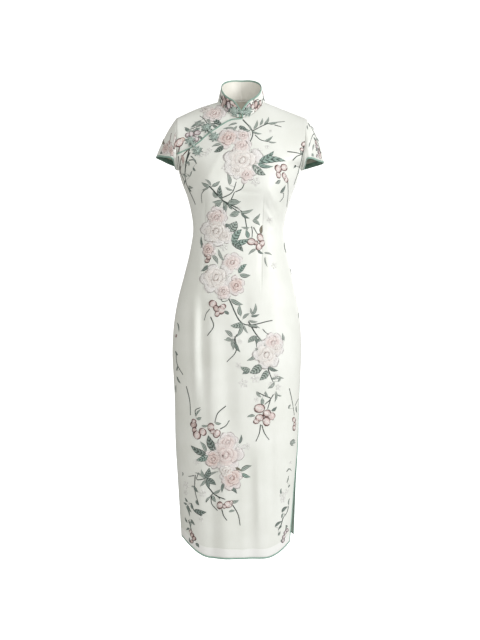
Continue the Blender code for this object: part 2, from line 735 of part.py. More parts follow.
def make_collar_frog(number):
    turn = COLLAR_FROG_SPREAD * FROG_REACH / NECK_HALF
    make_flower("frog_%d_flower_a" % number, on_collar(2 * math.pi - turn, COLLAR_FROG_SHARE))
    make_flower("frog_%d_flower_b" % number, on_collar(turn, COLLAR_FROG_SHARE))
    make_knot("frog_%d_knot" % number, on_collar(0.0, COLLAR_FROG_SHARE), COLLAR_KNOT_LIFT)


clear_scene()
make_front()
make_underlap()
make_back()
make_collar()
for pattern in SLEEVES:
    make_sleeve(pattern)
make_collar_frog(1)
for number, across in enumerate(LAP_FROGS, 2):
    make_lap_frog(number, across)
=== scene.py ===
"""A cheongsam in off-white satin, embroidered with roses, blossoms and leaf sprays.

Metres, +Z up; the front faces -Y and the wearer's left is at +X. The dress hangs as it
does when worn, and the sections follow the order in which it is cut and sewn.
"""

from collections import namedtuple
import math

import bpy
import numpy as np
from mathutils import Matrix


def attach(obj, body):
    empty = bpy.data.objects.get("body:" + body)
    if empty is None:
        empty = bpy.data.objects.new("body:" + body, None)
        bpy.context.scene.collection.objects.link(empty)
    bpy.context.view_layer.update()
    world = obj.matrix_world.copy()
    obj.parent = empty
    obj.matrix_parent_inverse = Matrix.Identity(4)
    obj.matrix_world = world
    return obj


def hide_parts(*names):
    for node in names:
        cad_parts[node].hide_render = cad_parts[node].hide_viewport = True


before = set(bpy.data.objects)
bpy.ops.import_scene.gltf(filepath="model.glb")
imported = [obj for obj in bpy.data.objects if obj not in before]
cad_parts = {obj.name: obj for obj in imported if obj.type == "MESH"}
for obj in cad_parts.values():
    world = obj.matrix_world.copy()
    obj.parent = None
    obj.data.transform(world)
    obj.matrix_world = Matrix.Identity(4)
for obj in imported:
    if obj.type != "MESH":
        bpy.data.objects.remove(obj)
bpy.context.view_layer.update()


# ---- Studio --------------------------------------------------------------------------
# A level camera in front of the dress, a white sweep that is only a backdrop, one large
# soft light on the wearer's left, a broad one in front and a weak warm one on the right.

CAMERA_PLACE = (0.00265, -2.2, -0.57)
CAMERA_LENS = 46.7
STUDIO_RADIUS = 9.0
FLOOR = -1.46

camera_lens = bpy.data.cameras.new("camera")
camera_lens.lens = CAMERA_LENS
camera_lens.sensor_width = 36
camera = bpy.data.objects.new("camera", camera_lens)
camera.location = CAMERA_PLACE
camera.rotation_euler = (math.radians(90), 0, 0)
bpy.context.collection.objects.link(camera)
bpy.context.scene.camera = camera
bpy.context.scene.view_settings.view_transform = "Standard"

bpy.ops.object.select_all(action="DESELECT")
bpy.ops.mesh.primitive_uv_sphere_add(segments=48, ring_count=24, radius=STUDIO_RADIUS)
sweep = bpy.context.object
sweep.name = "studio_sweep"
bpy.ops.object.mode_set(mode="EDIT")
bpy.ops.mesh.select_all(action="SELECT")
bpy.ops.mesh.bisect(plane_co=(0, 0, FLOOR), plane_no=(0, 0, 1), clear_inner=True, use_fill=True)
bpy.ops.mesh.select_all(action="SELECT")
bpy.ops.mesh.normals_make_consistent(inside=True)
bpy.ops.object.mode_set(mode="OBJECT")
sweep.visible_diffuse = False
sweep.visible_glossy = False
sweep.visible_transmission = False
sweep.visible_shadow = False
white = bpy.data.materials.new("studio_white")
white.use_nodes = True
paper = white.node_tree.nodes["Principled BSDF"]
paper.inputs["Base Color"].default_value = (0.9, 0.9, 0.9, 1)
paper.inputs["Roughness"].default_value = 0.9
paper.inputs["Emission Color"].default_value = (1, 1, 1, 1)
paper.inputs["Emission Strength"].default_value = 1.0
sweep.data.materials.append(white)

Lamp = namedtuple("Lamp", "name place aim width height power color")
LAMPS = (
    Lamp("key", (2.7, -1.9, 0.35), (0.0, 0.0, -0.55), 1.2, 2.0, 66.0, (1.0, 1.0, 1.0)),
    Lamp("front", (0.5, -3.3, 0.05), (0.0, 0.0, -0.55), 1.6, 2.2, 29.0, (1.0, 1.0, 0.99)),
    Lamp("fill", (-2.6, -1.2, -0.3), (0.0, 0.0, -0.6), 1.6, 2.4, 8.0, (1.0, 0.95, 0.84)),
    Lamp("rim", (1.6, 2.4, 0.6), (0.0, 0.0, -0.5), 1.4, 2.0, 20.0, (1.0, 1.0, 1.0)),
)
for lamp in LAMPS:
    light = bpy.data.lights.new(lamp.name, "AREA")
    light.shape = "RECTANGLE"
    light.size = lamp.width
    light.size_y = lamp.height
    light.energy = lamp.power
    light.color = lamp.color
    stand = bpy.data.objects.new(lamp.name, light)
    stand.location = lamp.place
    aim = np.subtract(lamp.aim, lamp.place)
    turn = math.atan2(aim[1], aim[0]) - math.pi / 2
    tilt = math.atan2(aim[2], math.hypot(aim[0], aim[1])) + math.pi / 2
    stand.rotation_euler = (tilt, 0, turn)
    bpy.context.collection.objects.link(stand)

world = bpy.data.worlds.new("studio_air")
world.use_nodes = True
world.node_tree.nodes["Background"].inputs["Color"].default_value = (1.0, 0.98, 0.945, 1)
world.node_tree.nodes["Background"].inputs["Strength"].default_value = 0.43
bpy.context.scene.world = world


# ---- Front ---------------------------------------------------------------------------
# The front is one piece of satin from the hem to the left shoulder, its upper right edge
# cut on the slant for the lap. Two long darts shape it to the waist; the hem is faced.

WALL = 0.0012
ROUNDNESS = 2.15          # exponent of the body's oval sections; 2 is an ellipse
HEM = -1.1785
HEM_CORNER_RISE = 0.039   # the hem curves up towards the slits
HEM_LEVEL_SHARE = 0.28    # share of each half hem that stays level
HEM_RISEN_SHARE = 0.85    # and where its corner has risen in full
SLIT_HEAD = (-0.002, 0.008)   # below a slit's top, where its edges part from the seam
SLIT_TOP = -0.713
UNDERARM = -0.172
NECK_HALF = 0.063
NECK_SIDE = 0.006
NECK_FRONT = -0.050
NECK_BACK = 0.022
SHOULDER_HALF = 0.170
SHOULDER_END = -0.036
RIGHT_SHOULDER_RISE = 0.004   # the right shoulder is a little fuller than the left
NECK_BACK_RISE = 0.010    # the cloth climbs from the shoulders to the back of the neck
CHEST_SPREAD = 0.018      # how much wider than the underarm the shoulders' own oval is
ARMHOLE_DEPTH = 0.056
PROUD = 0.0001            # how far the satin lies outside the solids' sections
SEAM_GAP = 0.0002         # between pieces that meet at a seam
NUDGE = 1e-4              # small step for slopes along the cloth
BINDING_WIDTH = 0.0046
TUCK = 0.0030             # the cloth ends this far inside its binding's outer edge
FACING_DEPTH = 0.024      # the turned-up facing, which makes the hem whiter
FACING_SWAY = 0.006       # how unevenly it is turned up
DART_SEAM = (0.0002, 0.0022)   # metres from a dart's line, over which its seam fades


def rows(kind, *table):
    """A table's rows, from millimetres to metres in named columns."""
    return tuple(kind(*(value / 1000 for value in row)) for row in table)


Section = namedtuple("Section", "height half_width front back shift")
SECTIONS = rows(
    Section,
    (-1180, 146.5, 90, 96, -3), (-1090, 151, 91.5, 98.5, -4), (-1000, 155.5, 93.5, 101.5, -5),
    (-900, 161.5, 96.5, 106, -5.2), (-770, 164.5, 100, 112, -5.2), (-645, 170.5, 104, 117, -5.5),
    (-580, 167, 104.5, 117, -5), (-517, 157.7, 103, 113, -4), (-453, 143.1, 99, 103, -2.2),
    (-390, 129, 93.5, 90, -1), (-326, 120.6, 90.5, 80, -0.8), (-284, 127, 97, 80, 0.2),
    (-241, 139, 107, 85, 1.2), (-205, 153, 110, 91, 1.4), (-172, 162, 109, 95, 1.6),
    (-100, 172, 96, 95, 4), (20, 172, 70, 70, 6.2),
)
Lap = namedtuple("Lap", "x height")
LAP_EDGE = rows(
    Lap,
    (-163.2, -141), (-148, -135), (-127.4, -126.5), (-110.6, -115), (-84.4, -90.5),
    (-61.7, -74.5), (-27, -54), (3, -51.2),
)
Swell = namedtuple("Swell", "x height spread_x spread_z rise")
Fold = namedtuple("Fold", "x_top top x_foot foot width rise")
Crease = namedtuple("Crease", "x z end_x end_z width rise")
Face = namedtuple("Face", "name side swells folds creases")

# Darts are the first two folds of each face; then come the folds that hang in the skirt,
# and last the finer creases, from the bust and waist to the hem.
FRONT = Face(
    "front",
    -1,
    rows(Swell, (80, -243, 45, 50, 16), (0, -480, 80, 80, 2)),
    rows(
        Fold,
        (-84, -225, -90, -500, 9.5, -2.8), (62, -235, 60, -500, 9.5, -2.6),
        (-104, -500, -96, -840, 13, 3), (-84, -480, -78, -760, 12, -3.4),
        (-58, -560, -52, -960, 15, 2.8), (-10, -600, -14, -900, 20, -2.2),
        (72, -560, 78, -900, 18, 2.2), (-60, -860, -66, -1190, 15, -3.2),
        (-34, -840, -30, -1190, 16, 2.6), (30, -880, 34, -1190, 17, -3.4),
        (66, -840, 70, -1190, 20, 2.8),
    ),
    rows(
        Crease,
        (-86, -180, -94, -540, 16, 6.2), (-106, -215, -104, -380, 8, -1.6),
        (72, -236, 116, -312, 6, 3.8), (88, -232, 126, -296, 5, -3),
        (66, -286, 106, -346, 6, 3.4), (60, -262, 96, -330, 4.5, -2.6),
        (-12, -246, 64, -250, 4, -1.8), (-118, -240, -96, -330, 6, 1.2),
        (-112, -352, -70, -322, 5, -0.8), (64, -338, 110, -366, 5, -0.8),
        (-112, -500, -106, -800, 7.5, 4.4), (-94, -480, -88, -760, 8, -4.8),
        (-70, -540, -66, -860, 10, 3), (-30, -560, -26, -880, 16, -3),
        (104, -430, 90, -560, 9, 1), (4, -700, 10, -860, 11, 0.9), (110, -700, 116, -900, 10, -1),
        (-126, -620, -122, -860, 9, 1), (-90, -930, -100, -1130, 9, 1.2),
        (0, -980, 4, -1160, 11, -1), (-140, -176, -108, -205, 5, -0.8),
        (146, -150, 108, -120, 7, 1), (140, -178, 112, -206, 5, -1),
        (70, -282, 118, -250, 5, 1.6), (72, -318, 120, -278, 4.5, 1.5),
        (70, -350, 110, -324, 4.5, 1.3), (-126, -262, -86, -312, 5, 1.4),
        (20, -478, 24, -640, 15, -3.8), (100, -560, 104, -760, 9, 2.8),
        (-40, -128, -90, -236, 9, 1.6), (60, -120, 96, -205, 9, -1.4),
        (52, -900, 56, -1150, 9, 2.6), (88, -820, 92, -1120, 9, -2.4),
    ),
)


def curve(t, step, first, last, first_slope, last_slope):
    """Smooth step of a curve between two values with these slopes; t runs from 0 to 1."""
    start = (2 * t**3 - 3 * t**2 + 1) * first + (t**3 - 2 * t**2 + t) * step * first_slope
    return start + (3 * t**2 - 2 * t**3) * last + (t**3 - t**2) * step * last_slope


def along(table, key, name, place):
    """Smooth curve through the table's rows: column `name` at the given `key` value."""
    keys = np.array([getattr(row, key) for row in table])
    values = np.array([getattr(row, name) for row in table])
    slopes = np.gradient(values, keys)
    place = np.clip(place, keys[0], keys[-1])
    row = np.clip(np.searchsorted(keys, place) - 1, 0, len(keys) - 2)
    step = keys[row + 1] - keys[row]
    t = (place - keys[row]) / step
    return curve(t, step, values[row], values[row + 1], slopes[row], slopes[row + 1])


def section(name, height):
    return along(SECTIONS, "height", name, height)


def lap_height(x):
    return along(LAP_EDGE, "x", "height", x)


def ease(value, start, end):
    """0 before start, 1 past end, and smooth between."""
    t = np.clip((value - start) / (end - start), 0, 1)
    return t * t * (3 - 2 * t)


def unit(vectors):
    return vectors / np.maximum(np.linalg.norm(vectors, axis=-1, keepdims=True), 1e-12)


def relief(face, x, height):
    """How far the bust or hips, the darts, the folds and the creases move the cloth out."""
    total = 0 * x + 0 * height
    for swell in face.swells:
        for side in (-1, 1):
            across = (x - side * swell.x) / swell.spread_x
            up = (height - swell.height) / swell.spread_z
            total = total + swell.rise / (1 + (swell.x == 0)) * np.exp(-across**2 - up**2)
    for fold in face.folds:
        t = np.clip((fold.top - height) / (fold.top - fold.foot), 0, 1)
        across = (x - (fold.x_top + (fold.x_foot - fold.x_top) * t)) / fold.width
        fade = ease(t, 0, 0.25) * (1 if fold.foot < HEM else 1 - ease(t, 0.75, 1))
        total = total + fold.rise * fade * np.exp(-across**2)
    for crease in face.creases:
        run = np.array([crease.end_x - crease.x, crease.end_z - crease.z])
        length = np.linalg.norm(run)
        run = run / length
        t = ((x - crease.x) * run[0] + (height - crease.z) * run[1]) / length
        across = ((height - crease.z) * run[0] - (x - crease.x) * run[1]) / crease.width
        fade = ease(t, -0.1, 0.35) * (1 - ease(t, 0.6, 1.1))
        total = total + crease.rise * fade * np.exp(-across**2)
    return total


def shoulder_height(x):
    share = (np.abs(x) - NECK_HALF) / (SHOULDER_HALF - NECK_HALF)
    fuller = RIGHT_SHOULDER_RISE * np.sin(math.pi * np.clip(share, 0, 1)) * (x < 0)
    return NECK_SIDE - (NECK_SIDE - SHOULDER_END) * share + fuller


def chest_depth(face, x, height):
    """Depth of the cloth above the underarm, where the shoulders round over."""
    crest = shoulder_height(x)
    over = 0.5 + 0 * x
    if face.side > 0:
        crest = crest + NECK_BACK_RISE * (1 - ease(np.abs(x), 0, NECK_HALF))
        over = 0.5 - 0.22 * (1 - ease(np.abs(x), 0, 0.11))
    fall = np.clip((crest - height) / (crest - UNDERARM), 0, 1)
    half_width = section("half_width", UNDERARM) + CHEST_SPREAD * (1 - ease(fall, 0.65, 1))
    share = np.clip(np.abs(x) / half_width, 0, 1)
    power = 1 / ROUNDNESS + 0.30 * (1 - ease(fall, 0.6, 1))
    bulge = (1 - share**ROUNDNESS) ** power
    opening = (4 * fall * (1 - fall)) ** (0.5 + 0.8 * (1 - share))
    depth = section(face.name, UNDERARM) * bulge * fall**over
    return depth + bulge * relief(face, x, height) + ARMHOLE_DEPTH * share**4 * opening


def skirt_depth(face, x, height):
    """Depth of the cloth below the underarm, where every section is an oval."""
    share = np.clip(np.abs(x) / section("half_width", height), 0, 1)
    bulge = (1 - share**ROUNDNESS) ** (1 / ROUNDNESS)
    return bulge * (section(face.name, height) + relief(face, x, height))


def body_at(face, x, height):
    """Point of the cloth straight behind (x, height); x counts from the panel's middle."""
    depth = np.where(
        height > UNDERARM,
        chest_depth(face, x, np.maximum(height, UNDERARM)),
        skirt_depth(face, x, np.minimum(height, UNDERARM)),
    )
    return np.stack([x + section("shift", height), face.side * (depth + PROUD), height], -1)


def oval_x(turn, height):
    """Distance from the middle at a turn from -1 (right side seam) to 1 (left)."""
    angle = turn * math.pi / 2
    reach = section("half_width", height)
    return reach * np.sign(angle) * np.abs(np.sin(angle)) ** (2 / ROUNDNESS)


def neckline(angle):
    """Point of the neckline; angle 0 is the front, a quarter turn the wearer's left."""
    share = np.abs(np.sin(angle))
    front = NECK_FRONT + (NECK_SIDE - NECK_FRONT) * share**2.1
    back = NECK_BACK + (NECK_SIDE - NECK_BACK) * share**2
    return np.stack([NECK_HALF * np.sin(angle), np.where(np.cos(angle) > 0, front, back)], -1)


def armhole_reach(height):
    share = (height - UNDERARM) / (SHOULDER_END - UNDERARM)
    underarm_half = section("half_width", UNDERARM)
    return underarm_half + (SHOULDER_HALF - underarm_half) * share


def shoulder(share, side):
    x = side * (NECK_HALF + (SHOULDER_HALF - NECK_HALF) * share)
    return np.stack([x, shoulder_height(x)], -1)


def lap_point(x, inset):
    """Point of the lap's edge, moved down into the main front by `inset`."""
    step = 0.0005
    slope = (lap_height(x + step) - lap_height(x - step)) / (2 * step)
    length = np.sqrt(1 + slope**2)
    return np.stack([x + inset * slope / length, lap_height(x) - inset / length], -1)


Slit = namedtuple("Slit", "front back")          # degrees that each edge draws back
RIGHT_SLIT = Slit(3.0, 1.5)
LEFT_SLIT = Slit(26.0, 1.0)


def risen_row(bottom, top, rounding, share):
    """A row of the chest between its bottom and top edges, closer together near the top."""
    rise = (1 - rounding) * share + rounding * np.sin(share * math.pi / 2)
    return bottom + (top - bottom) * rise[:, None]


def body_grid(face, top, rounding, rows_of):
    """Grid of a whole panel: from the hem, past the slits, to its top edge."""
    columns = len(top)

    def turns(height):
        radius = section(face.name, height)
        down = np.clip((SLIT_TOP - height) / (SLIT_TOP - HEM), 0, 1)
        bound = ease(SLIT_TOP - height, *SLIT_HEAD) * TUCK / radius
        right, left = (
            (math.radians(getattr(slit, face.name)) * down + bound) * 2 / math.pi
            for slit in (RIGHT_SLIT, LEFT_SLIT)
        )
        return np.linspace(-1 + right, 1 - left, columns)

    risen = ease(np.abs(turns(HEM)), HEM_LEVEL_SHARE, HEM_RISEN_SHARE)
    hem = HEM + TUCK + HEM_CORNER_RISE * risen
    lines = []
    for share in np.linspace(0, 1, rows_of.skirt):
        height = hem + (SLIT_TOP - hem) * share
        lines.append(body_at(face, oval_x(turns(height[0]), height), height))
    for level in np.linspace(SLIT_TOP, UNDERARM, rows_of.waist)[1:]:
        height = np.full(columns, level)
        lines.append(body_at(face, oval_x(turns(level), height), height))
    bottom = np.stack([oval_x(turns(UNDERARM), height), height], -1)
    for share in np.linspace(0, 1, rows_of.chest)[1:]:
        flat = risen_row(bottom, top, rounding, share)
        lines.append(body_at(face, flat[:, 0], np.maximum(flat[:, 1], UNDERARM + 1e-9)))
    return np.array(lines)


class Wire:
    """A value on its way through a material; arithmetic on it adds Math nodes."""

    def __init__(self, tree, socket):
        self.tree = tree
        self.socket = socket

    def math(self, operation, *others):
        node = self.tree.nodes.new("ShaderNodeMath")
        node.operation = operation
        for socket, value in zip(node.inputs, (self, *others)):
            join(self.tree, socket, value)
        return Wire(self.tree, node.outputs[0])

    def __add__(self, other):
        return self.math("ADD", other)

    def __mul__(self, other):
        return self.math("MULTIPLY", other)

    def __sub__(self, other):
        return self.math("SUBTRACT", other)

    def __rsub__(self, other):
        return self.math("MULTIPLY", -1.0) + other

    __radd__ = __add__
    __rmul__ = __mul__

    def between(self, low, high):
        """0 below low, 1 above high, and smooth between."""
        node = self.tree.nodes.new("ShaderNodeMapRange")
        node.interpolation_type = "SMOOTHSTEP"
        join(self.tree, node.inputs["Value"], self)
        node.inputs["From Min"].default_value = low
        node.inputs["From Max"].default_value = high
        return Wire(self.tree, node.outputs[0])


def join(tree, socket, value):
    if isinstance(value, Wire):
        tree.links.new(value.socket, socket)
    else:
        socket.default_value = value


class Finish:
    """One material. The shader's fixed values are set on its own sockets."""

    def __init__(self, name, **fixed):
        self.material = bpy.data.materials.new(name)
        self.material.use_nodes = True
        self.tree = self.material.node_tree
        for socket, value in fixed.items():
            self.set(socket.replace("_", " "), value)

    def set(self, socket, value):
        join(self.tree, self.tree.nodes["Principled BSDF"].inputs[socket], value)

    def node(self, kind, settings, sockets, output=0):
        """A node of this kind: its settings first, then its sockets' values or wires."""
        node = self.tree.nodes.new("ShaderNode" + kind)
        for name, value in settings.items():
            setattr(node, name, value)
        for name, value in sockets.items():
            join(self.tree, node.inputs[name], value)
        return Wire(self.tree, node.outputs[output])

    def uv(self, name):
        return self.node("UVMap", {"uv_map": name}, {})

    def place(self):
        """Object coordinates."""
        return self.node("TexCoord", {}, {}, 3)

    def stretched(self, vector, *scale):
        return self.node("Mapping", {}, {"Vector": vector, "Scale": scale})

    def part(self, vector, axis):
        """One of a vector's three parts."""
        return self.node("SeparateXYZ", {}, {"Vector": vector}, axis)

    def waves(self, vector, direction, scale, distortion, **more):
        sockets = {"Vector": vector, "Scale": scale, "Distortion": distortion, "Detail": 1.0}
        return self.node("TexWave", {"bands_direction": direction}, {**sockets, **more})

    def mix(self, share, first, second):
        return self.node("Mix", {"data_type": "RGBA"}, {0: share, 6: first, 7: second}, 2)

    def bump(self, height, depth, strength=1.0):
        self.set("Normal", self.node(
            "Bump", {}, {"Height": height, "Distance": depth, "Strength": strength}
        ))

    def noise(self, vector, scale, detail=2.0, roughness=0.5):
        return self.node("TexNoise", {}, {
            "Vector": vector, "Scale": scale, "Detail": detail, "Roughness": roughness,
        })


def satin(name, color, shade, trim=None):
    """Silk satin: long smooth floats down the cloth, with faint slubs and cloudiness.

    trim adds what only some panels have; it gets the finish, colour and height.
    """
    finish = Finish(
        name,
        Specular_IOR_Level=0.45,
        Sheen_Weight=0.12,
        Sheen_Roughness=0.35,
        Sheen_Tint=(1.0, 1.0, 0.98, 1),
    )
    place = finish.uv("cloth")
    slub = finish.noise(finish.stretched(place, 1.0, 0.045, 1.0), 900.0, 3.0, 0.6)
    spot = finish.place()
    cloud = finish.noise(spot, 14.0, 3.0)
    weave = finish.waves(place, "DIAGONAL", 420.0, 1.5)
    ripple = finish.noise(spot, 55.0, 2.0)
    sag = finish.noise(finish.stretched(spot, 1.0, 1.0, 0.3), 26.0)
    base = finish.mix((cloud * 0.6 + slub * 0.25).between(0.28, 0.62), shade, color)
    height = slub * 0.25 + weave * 0.10 + ripple * 0.9 + sag * 3.0
    if trim:
        base, height = trim(finish, place, base, height)
    finish.set("Base Color", base)
    finish.set("Roughness", slub * 0.12 + cloud * 0.06 + 0.33)
    finish.bump(height, 0.00022)
    return finish


def hem_and_darts(finish, place, base, height):
    """The facing shows through the hem as a whiter band; each dart is a fine seam, sunk into the
    cloth and painted darker as the shade in its groove.
    """
    up = finish.part(place, 1) + finish.noise(finish.place(), 22.0, 1.0) * FACING_SWAY
    band = 1 - up.between(FACING_DEPTH, FACING_DEPTH + 0.003)
    ridge = up.between(FACING_DEPTH + 0.0035, FACING_DEPTH + 0.005)
    base = finish.mix(band * 0.75, base, (0.93, 0.935, 0.925, 1))
    height = height + band * 1.0 + ridge * 0.6
    dart = finish.node("Attribute", {"attribute_name": "mark"}, {}, 1)
    for side in (0, 1):
        off = finish.part(dart, side).math("ABSOLUTE")
        seam = (1 - off.between(*DART_SEAM)) * finish.part(dart, 2)
        # Painted shade: the cloth is darkened towards grey along each dart's line.
        base = finish.mix(seam * 0.14, base, (0.40, 0.41, 0.36, 1))
        height = height - seam * 3.0
    return base, height


def cream_at_neck(finish, place, base, height):
    """The lining is mint in the skirt and cream from the chest up."""
    share = finish.part(finish.place(), 2).between(-0.24, -0.16)
    return finish.mix(share, base, (0.84, 0.80, 0.70, 1)), height


DART_FOOT = (-0.510, -0.470)   # the seam shows fully from here up
DART_HEAD = -0.285             # and fades out above here


def dart_marks(face, grid, fade_top):
    """For each point: its distance across from both darts, and how strongly they show."""
    x, z = grid[..., 0] - section("shift", grid[..., 2]), grid[..., 2]
    marks = []
    for fold in face.folds[:2]:
        share = (fold.top - z) / (fold.top - fold.foot)
        marks.append(x - (fold.x_top + (fold.x_foot - fold.x_top) * share))
    marks.append(ease(z, *DART_FOOT) * (1 - ease(z, DART_HEAD, fade_top)))
    return np.stack(marks, -1).reshape(-1, 3)


def quads(count, columns, closed):
    """Faces of a grid; a closed one joins its last column to its first."""
    faces = []
    for row in range(count - 1):
        for col in range(columns if closed else columns - 1):
            beside = (col + 1) % columns
            low = row * columns
            high = low + columns
            faces.append((low + col, low + beside, high + beside, high + col))
    return faces


def skin(name, points, faces):
    mesh = bpy.data.meshes.new(name)
    mesh.from_pydata([tuple(point) for point in points], [], faces)
    return mesh


def corners(mesh):
    """The point at each corner of each face."""
    points = np.empty(len(mesh.loops), np.int32)
    mesh.loops.foreach_get("vertex_index", points)
    return points


def store(data, name, values):
    data.foreach_set(name, values.astype(np.float32).ravel())


def shown(name, mesh, finishes, slot, *nodes):
    """Put a finished mesh in the scene as the piece that stands for the CAD nodes."""
    piece = bpy.data.objects.new(name, mesh)
    bpy.context.collection.objects.link(piece)
    for finish in finishes:
        mesh.materials.append(finish.material)
    mesh.shade_smooth()
    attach(piece, "root")
    if nodes:
        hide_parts(*nodes)
    return piece


def cloth(name, grid, outward, finishes, node, closed=False, mark=None):
    """A sheet through the grid, with its width and length as UVs, thickened inwards.

    mark stores three more values at each point, for the finish to read.
    """
    rows, columns = grid.shape[:2]
    faces = quads(rows, columns, closed)
    middle = (rows // 2, columns // 2)
    here = grid[middle]
    beside = grid[middle[0], middle[1] + 1] - here
    above = grid[middle[0] + 1, middle[1]] - here
    if np.dot(np.cross(beside, above), outward) < 0:
        faces = [face[::-1] for face in faces]
    mesh = skin(name, grid.reshape(-1, 3), faces)
    steps_across = np.linalg.norm(np.diff(grid, axis=1), axis=-1)
    steps_up = np.linalg.norm(np.diff(grid, axis=0), axis=-1)
    across = np.concatenate([np.zeros((rows, 1)), np.cumsum(steps_across, 1)], 1)
    across = across - across[:, middle[1] : middle[1] + 1]
    up = np.concatenate([np.zeros((1, columns)), np.cumsum(steps_up, 0)], 0)
    flat = np.stack([across, up], -1).reshape(-1, 2)
    loops = corners(mesh)
    uv = flat[loops]
    if closed:
        round_step = np.linalg.norm(grid[:, 0] - grid[:, -1], axis=-1)
        for face in mesh.polygons:
            cols = [loops[loop] % columns for loop in face.loop_indices]
            if 0 in cols and columns - 1 in cols:
                for loop, col in zip(face.loop_indices, cols):
                    row = loops[loop] // columns
                    if col == 0:
                        uv[loop, 0] = across[row, -1] + round_step[row]
    store(mesh.uv_layers.new(name="cloth").data, "uv", uv)
    if mark is not None:
        store(mesh.attributes.new("mark", "FLOAT_VECTOR", "POINT").data, "vector", mark)
    piece = shown(name, mesh, finishes, "satin", node)
    wall = piece.modifiers.new("wall", "SOLIDIFY")
    wall.thickness = WALL
    wall.offset = -1
    wall.material_offset = 1
    bpy.context.view_layer.objects.active = piece
    bpy.ops.object.modifier_apply(modifier="wall")
    return piece


IVORY = (0.86, 0.88, 0.84, 1)
IVORY_SHADE = (0.80, 0.82, 0.77, 1)
front_satin = satin("ivory_satin_front", IVORY, IVORY_SHADE, hem_and_darts)
plain_satin = satin("ivory_satin", IVORY, IVORY_SHADE)
lining = satin(
    "pale_mint_lining", (0.74, 0.84, 0.77, 1), (0.68, 0.79, 0.72, 1), cream_at_neck
)

Rows = namedtuple("Rows", "skirt waist chest")
FRONT_ROWS = Rows(104, 122, 36)
LAP_COLUMNS, NECK_COLUMNS, SEAM_COLUMNS = 44, 30, 30
lap = lap_point(np.linspace(LAP_EDGE[0].x, LAP_EDGE[-1].x, LAP_COLUMNS + 1), TUCK)
lap[0, 0] = -armhole_reach(lap[0, 1])
neck_edge = neckline(np.linspace(0, math.pi / 2, NECK_COLUMNS + 2))[2:]
left_seam = shoulder(np.linspace(0, 1, SEAM_COLUMNS + 1), 1)[1:]
front_top = np.concatenate([lap, neck_edge, left_seam])
rounding = ease(np.arange(len(front_top)), LAP_COLUMNS, LAP_COLUMNS + NECK_COLUMNS)
front_grid = body_grid(FRONT, front_top, rounding, FRONT_ROWS)
front_panel = cloth(
    "front_panel", front_grid, (0, -1, 0), (front_satin, lining), "front",
    mark=dart_marks(FRONT, front_grid, -0.245),
)


# ---- Small right front ----------------------------------------------------------------
# A small piece of the same satin fills the right chest under the lap. It is sewn into
# the neck, the right shoulder and the armhole, and its lower edge runs in under the lap.

LAP_DROP = 0.0030
LAP_FALL = (0.002, 0.016)     # above the lap's edge, where the drop begins and ends
UNDER_RUN = 0.022         # how far it runs on below the lap's edge


def underlap_at(x, height):
    """Point of the small right front, which sinks as it goes in under the lap."""
    step = 0.001
    here = body_at(FRONT, x, height)
    beside = body_at(FRONT, x + step, height) - here
    above = body_at(FRONT, x, height + step) - here
    sink = LAP_DROP * (1 - ease(height - lap_height(x), *LAP_FALL))
    return here - unit(np.cross(beside, above)) * sink[..., None]


UNDER_COLUMNS, UNDER_SEAM_COLUMNS, UNDER_ROWS = 56, 28, 34
under_edge = lap_point(np.linspace(LAP_EDGE[0].x, -0.001, UNDER_COLUMNS), UNDER_RUN)
under_edge[0, 0] = -armhole_reach(under_edge[0, 1])
under_seam = shoulder(np.linspace(1, 0, UNDER_SEAM_COLUMNS), -1)
under_neck = neckline(np.linspace(-math.pi / 2, 0, UNDER_COLUMNS - UNDER_SEAM_COLUMNS + 1))[1:]
under_top = np.concatenate([under_seam, under_neck])
under_rounding = 1 - ease(np.arange(UNDER_COLUMNS), UNDER_SEAM_COLUMNS, UNDER_COLUMNS - 1)
under_rows = [
    underlap_at(*risen_row(under_edge, under_top, under_rounding, share).T)
    for share in np.linspace(0, 1, UNDER_ROWS)
]
underlap_panel = cloth(
    "small_right_front", np.array(under_rows), (0, -1, 0), (plain_satin, lining),
    "front_underlap",
)


# ---- Back -----------------------------------------------------------------------------
# The back is one piece of satin, sewn to the front at the sides down to the slits and
# along the shoulders. Two darts shape it, and it hangs in soft folds from the hips.

BACK = Face(
    "back",
    1,
    rows(Swell, (75, -130, 50, 60, 6), (72, -600, 55, 70, 10)),
    rows(
        Fold,
        (-70, -215, -74, -500, 10, -2.6), (70, -215, 74, -500, 10, -2.6),
        (-50, -640, -58, -1190, 19, 3.2), (-8, -680, -4, -1190, 20, -3),
        (46, -620, 40, -1000, 18, 2.6), (86, -660, 92, -1190, 17, -2.8),
    ),
    rows(
        Crease,
        (-120, -262, -70, -312, 6, 1.4), (118, -270, 64, -322, 6, 1.3),
        (-100, -330, -40, -344, 5, -0.9), (96, -342, 34, -352, 5, -0.9),
        (-62, -690, 52, -704, 7, -1), (120, -560, 110, -760, 10, 1),
        (-112, -600, -104, -900, 11, -1.2), (20, -880, 24, -1150, 12, 1.2),
        (-92, -940, -100, -1140, 10, 1.2), (-146, -150, -104, -118, 7, 1),
        (146, -150, 104, -118, 7, 1),
    ),
)
BACK_ROWS = Rows(92, 108, 34)
back_neck = neckline(np.linspace(-math.pi / 2, -3 * math.pi / 2, 41))
back_right = shoulder(np.linspace(1, 0, 25), -1)[:-1]
back_left = shoulder(np.linspace(0, 1, 25), 1)[1:]
back_top = np.concatenate([back_right, back_neck, back_left])
back_grid = body_grid(BACK, back_top, np.ones(len(back_top)), BACK_ROWS)
back_panel = cloth(
    "back_panel", back_grid, (0, 1, 0), (front_satin, lining), "back",
    mark=dart_marks(BACK, back_grid, -0.225),
)


# ---- Stand collar ---------------------------------------------------------------------
# A stiffened stand collar of the same satin, lined in cream. It rises from the neckline,
# is higher at the back, and its two rounded front ends meet over the first frog.

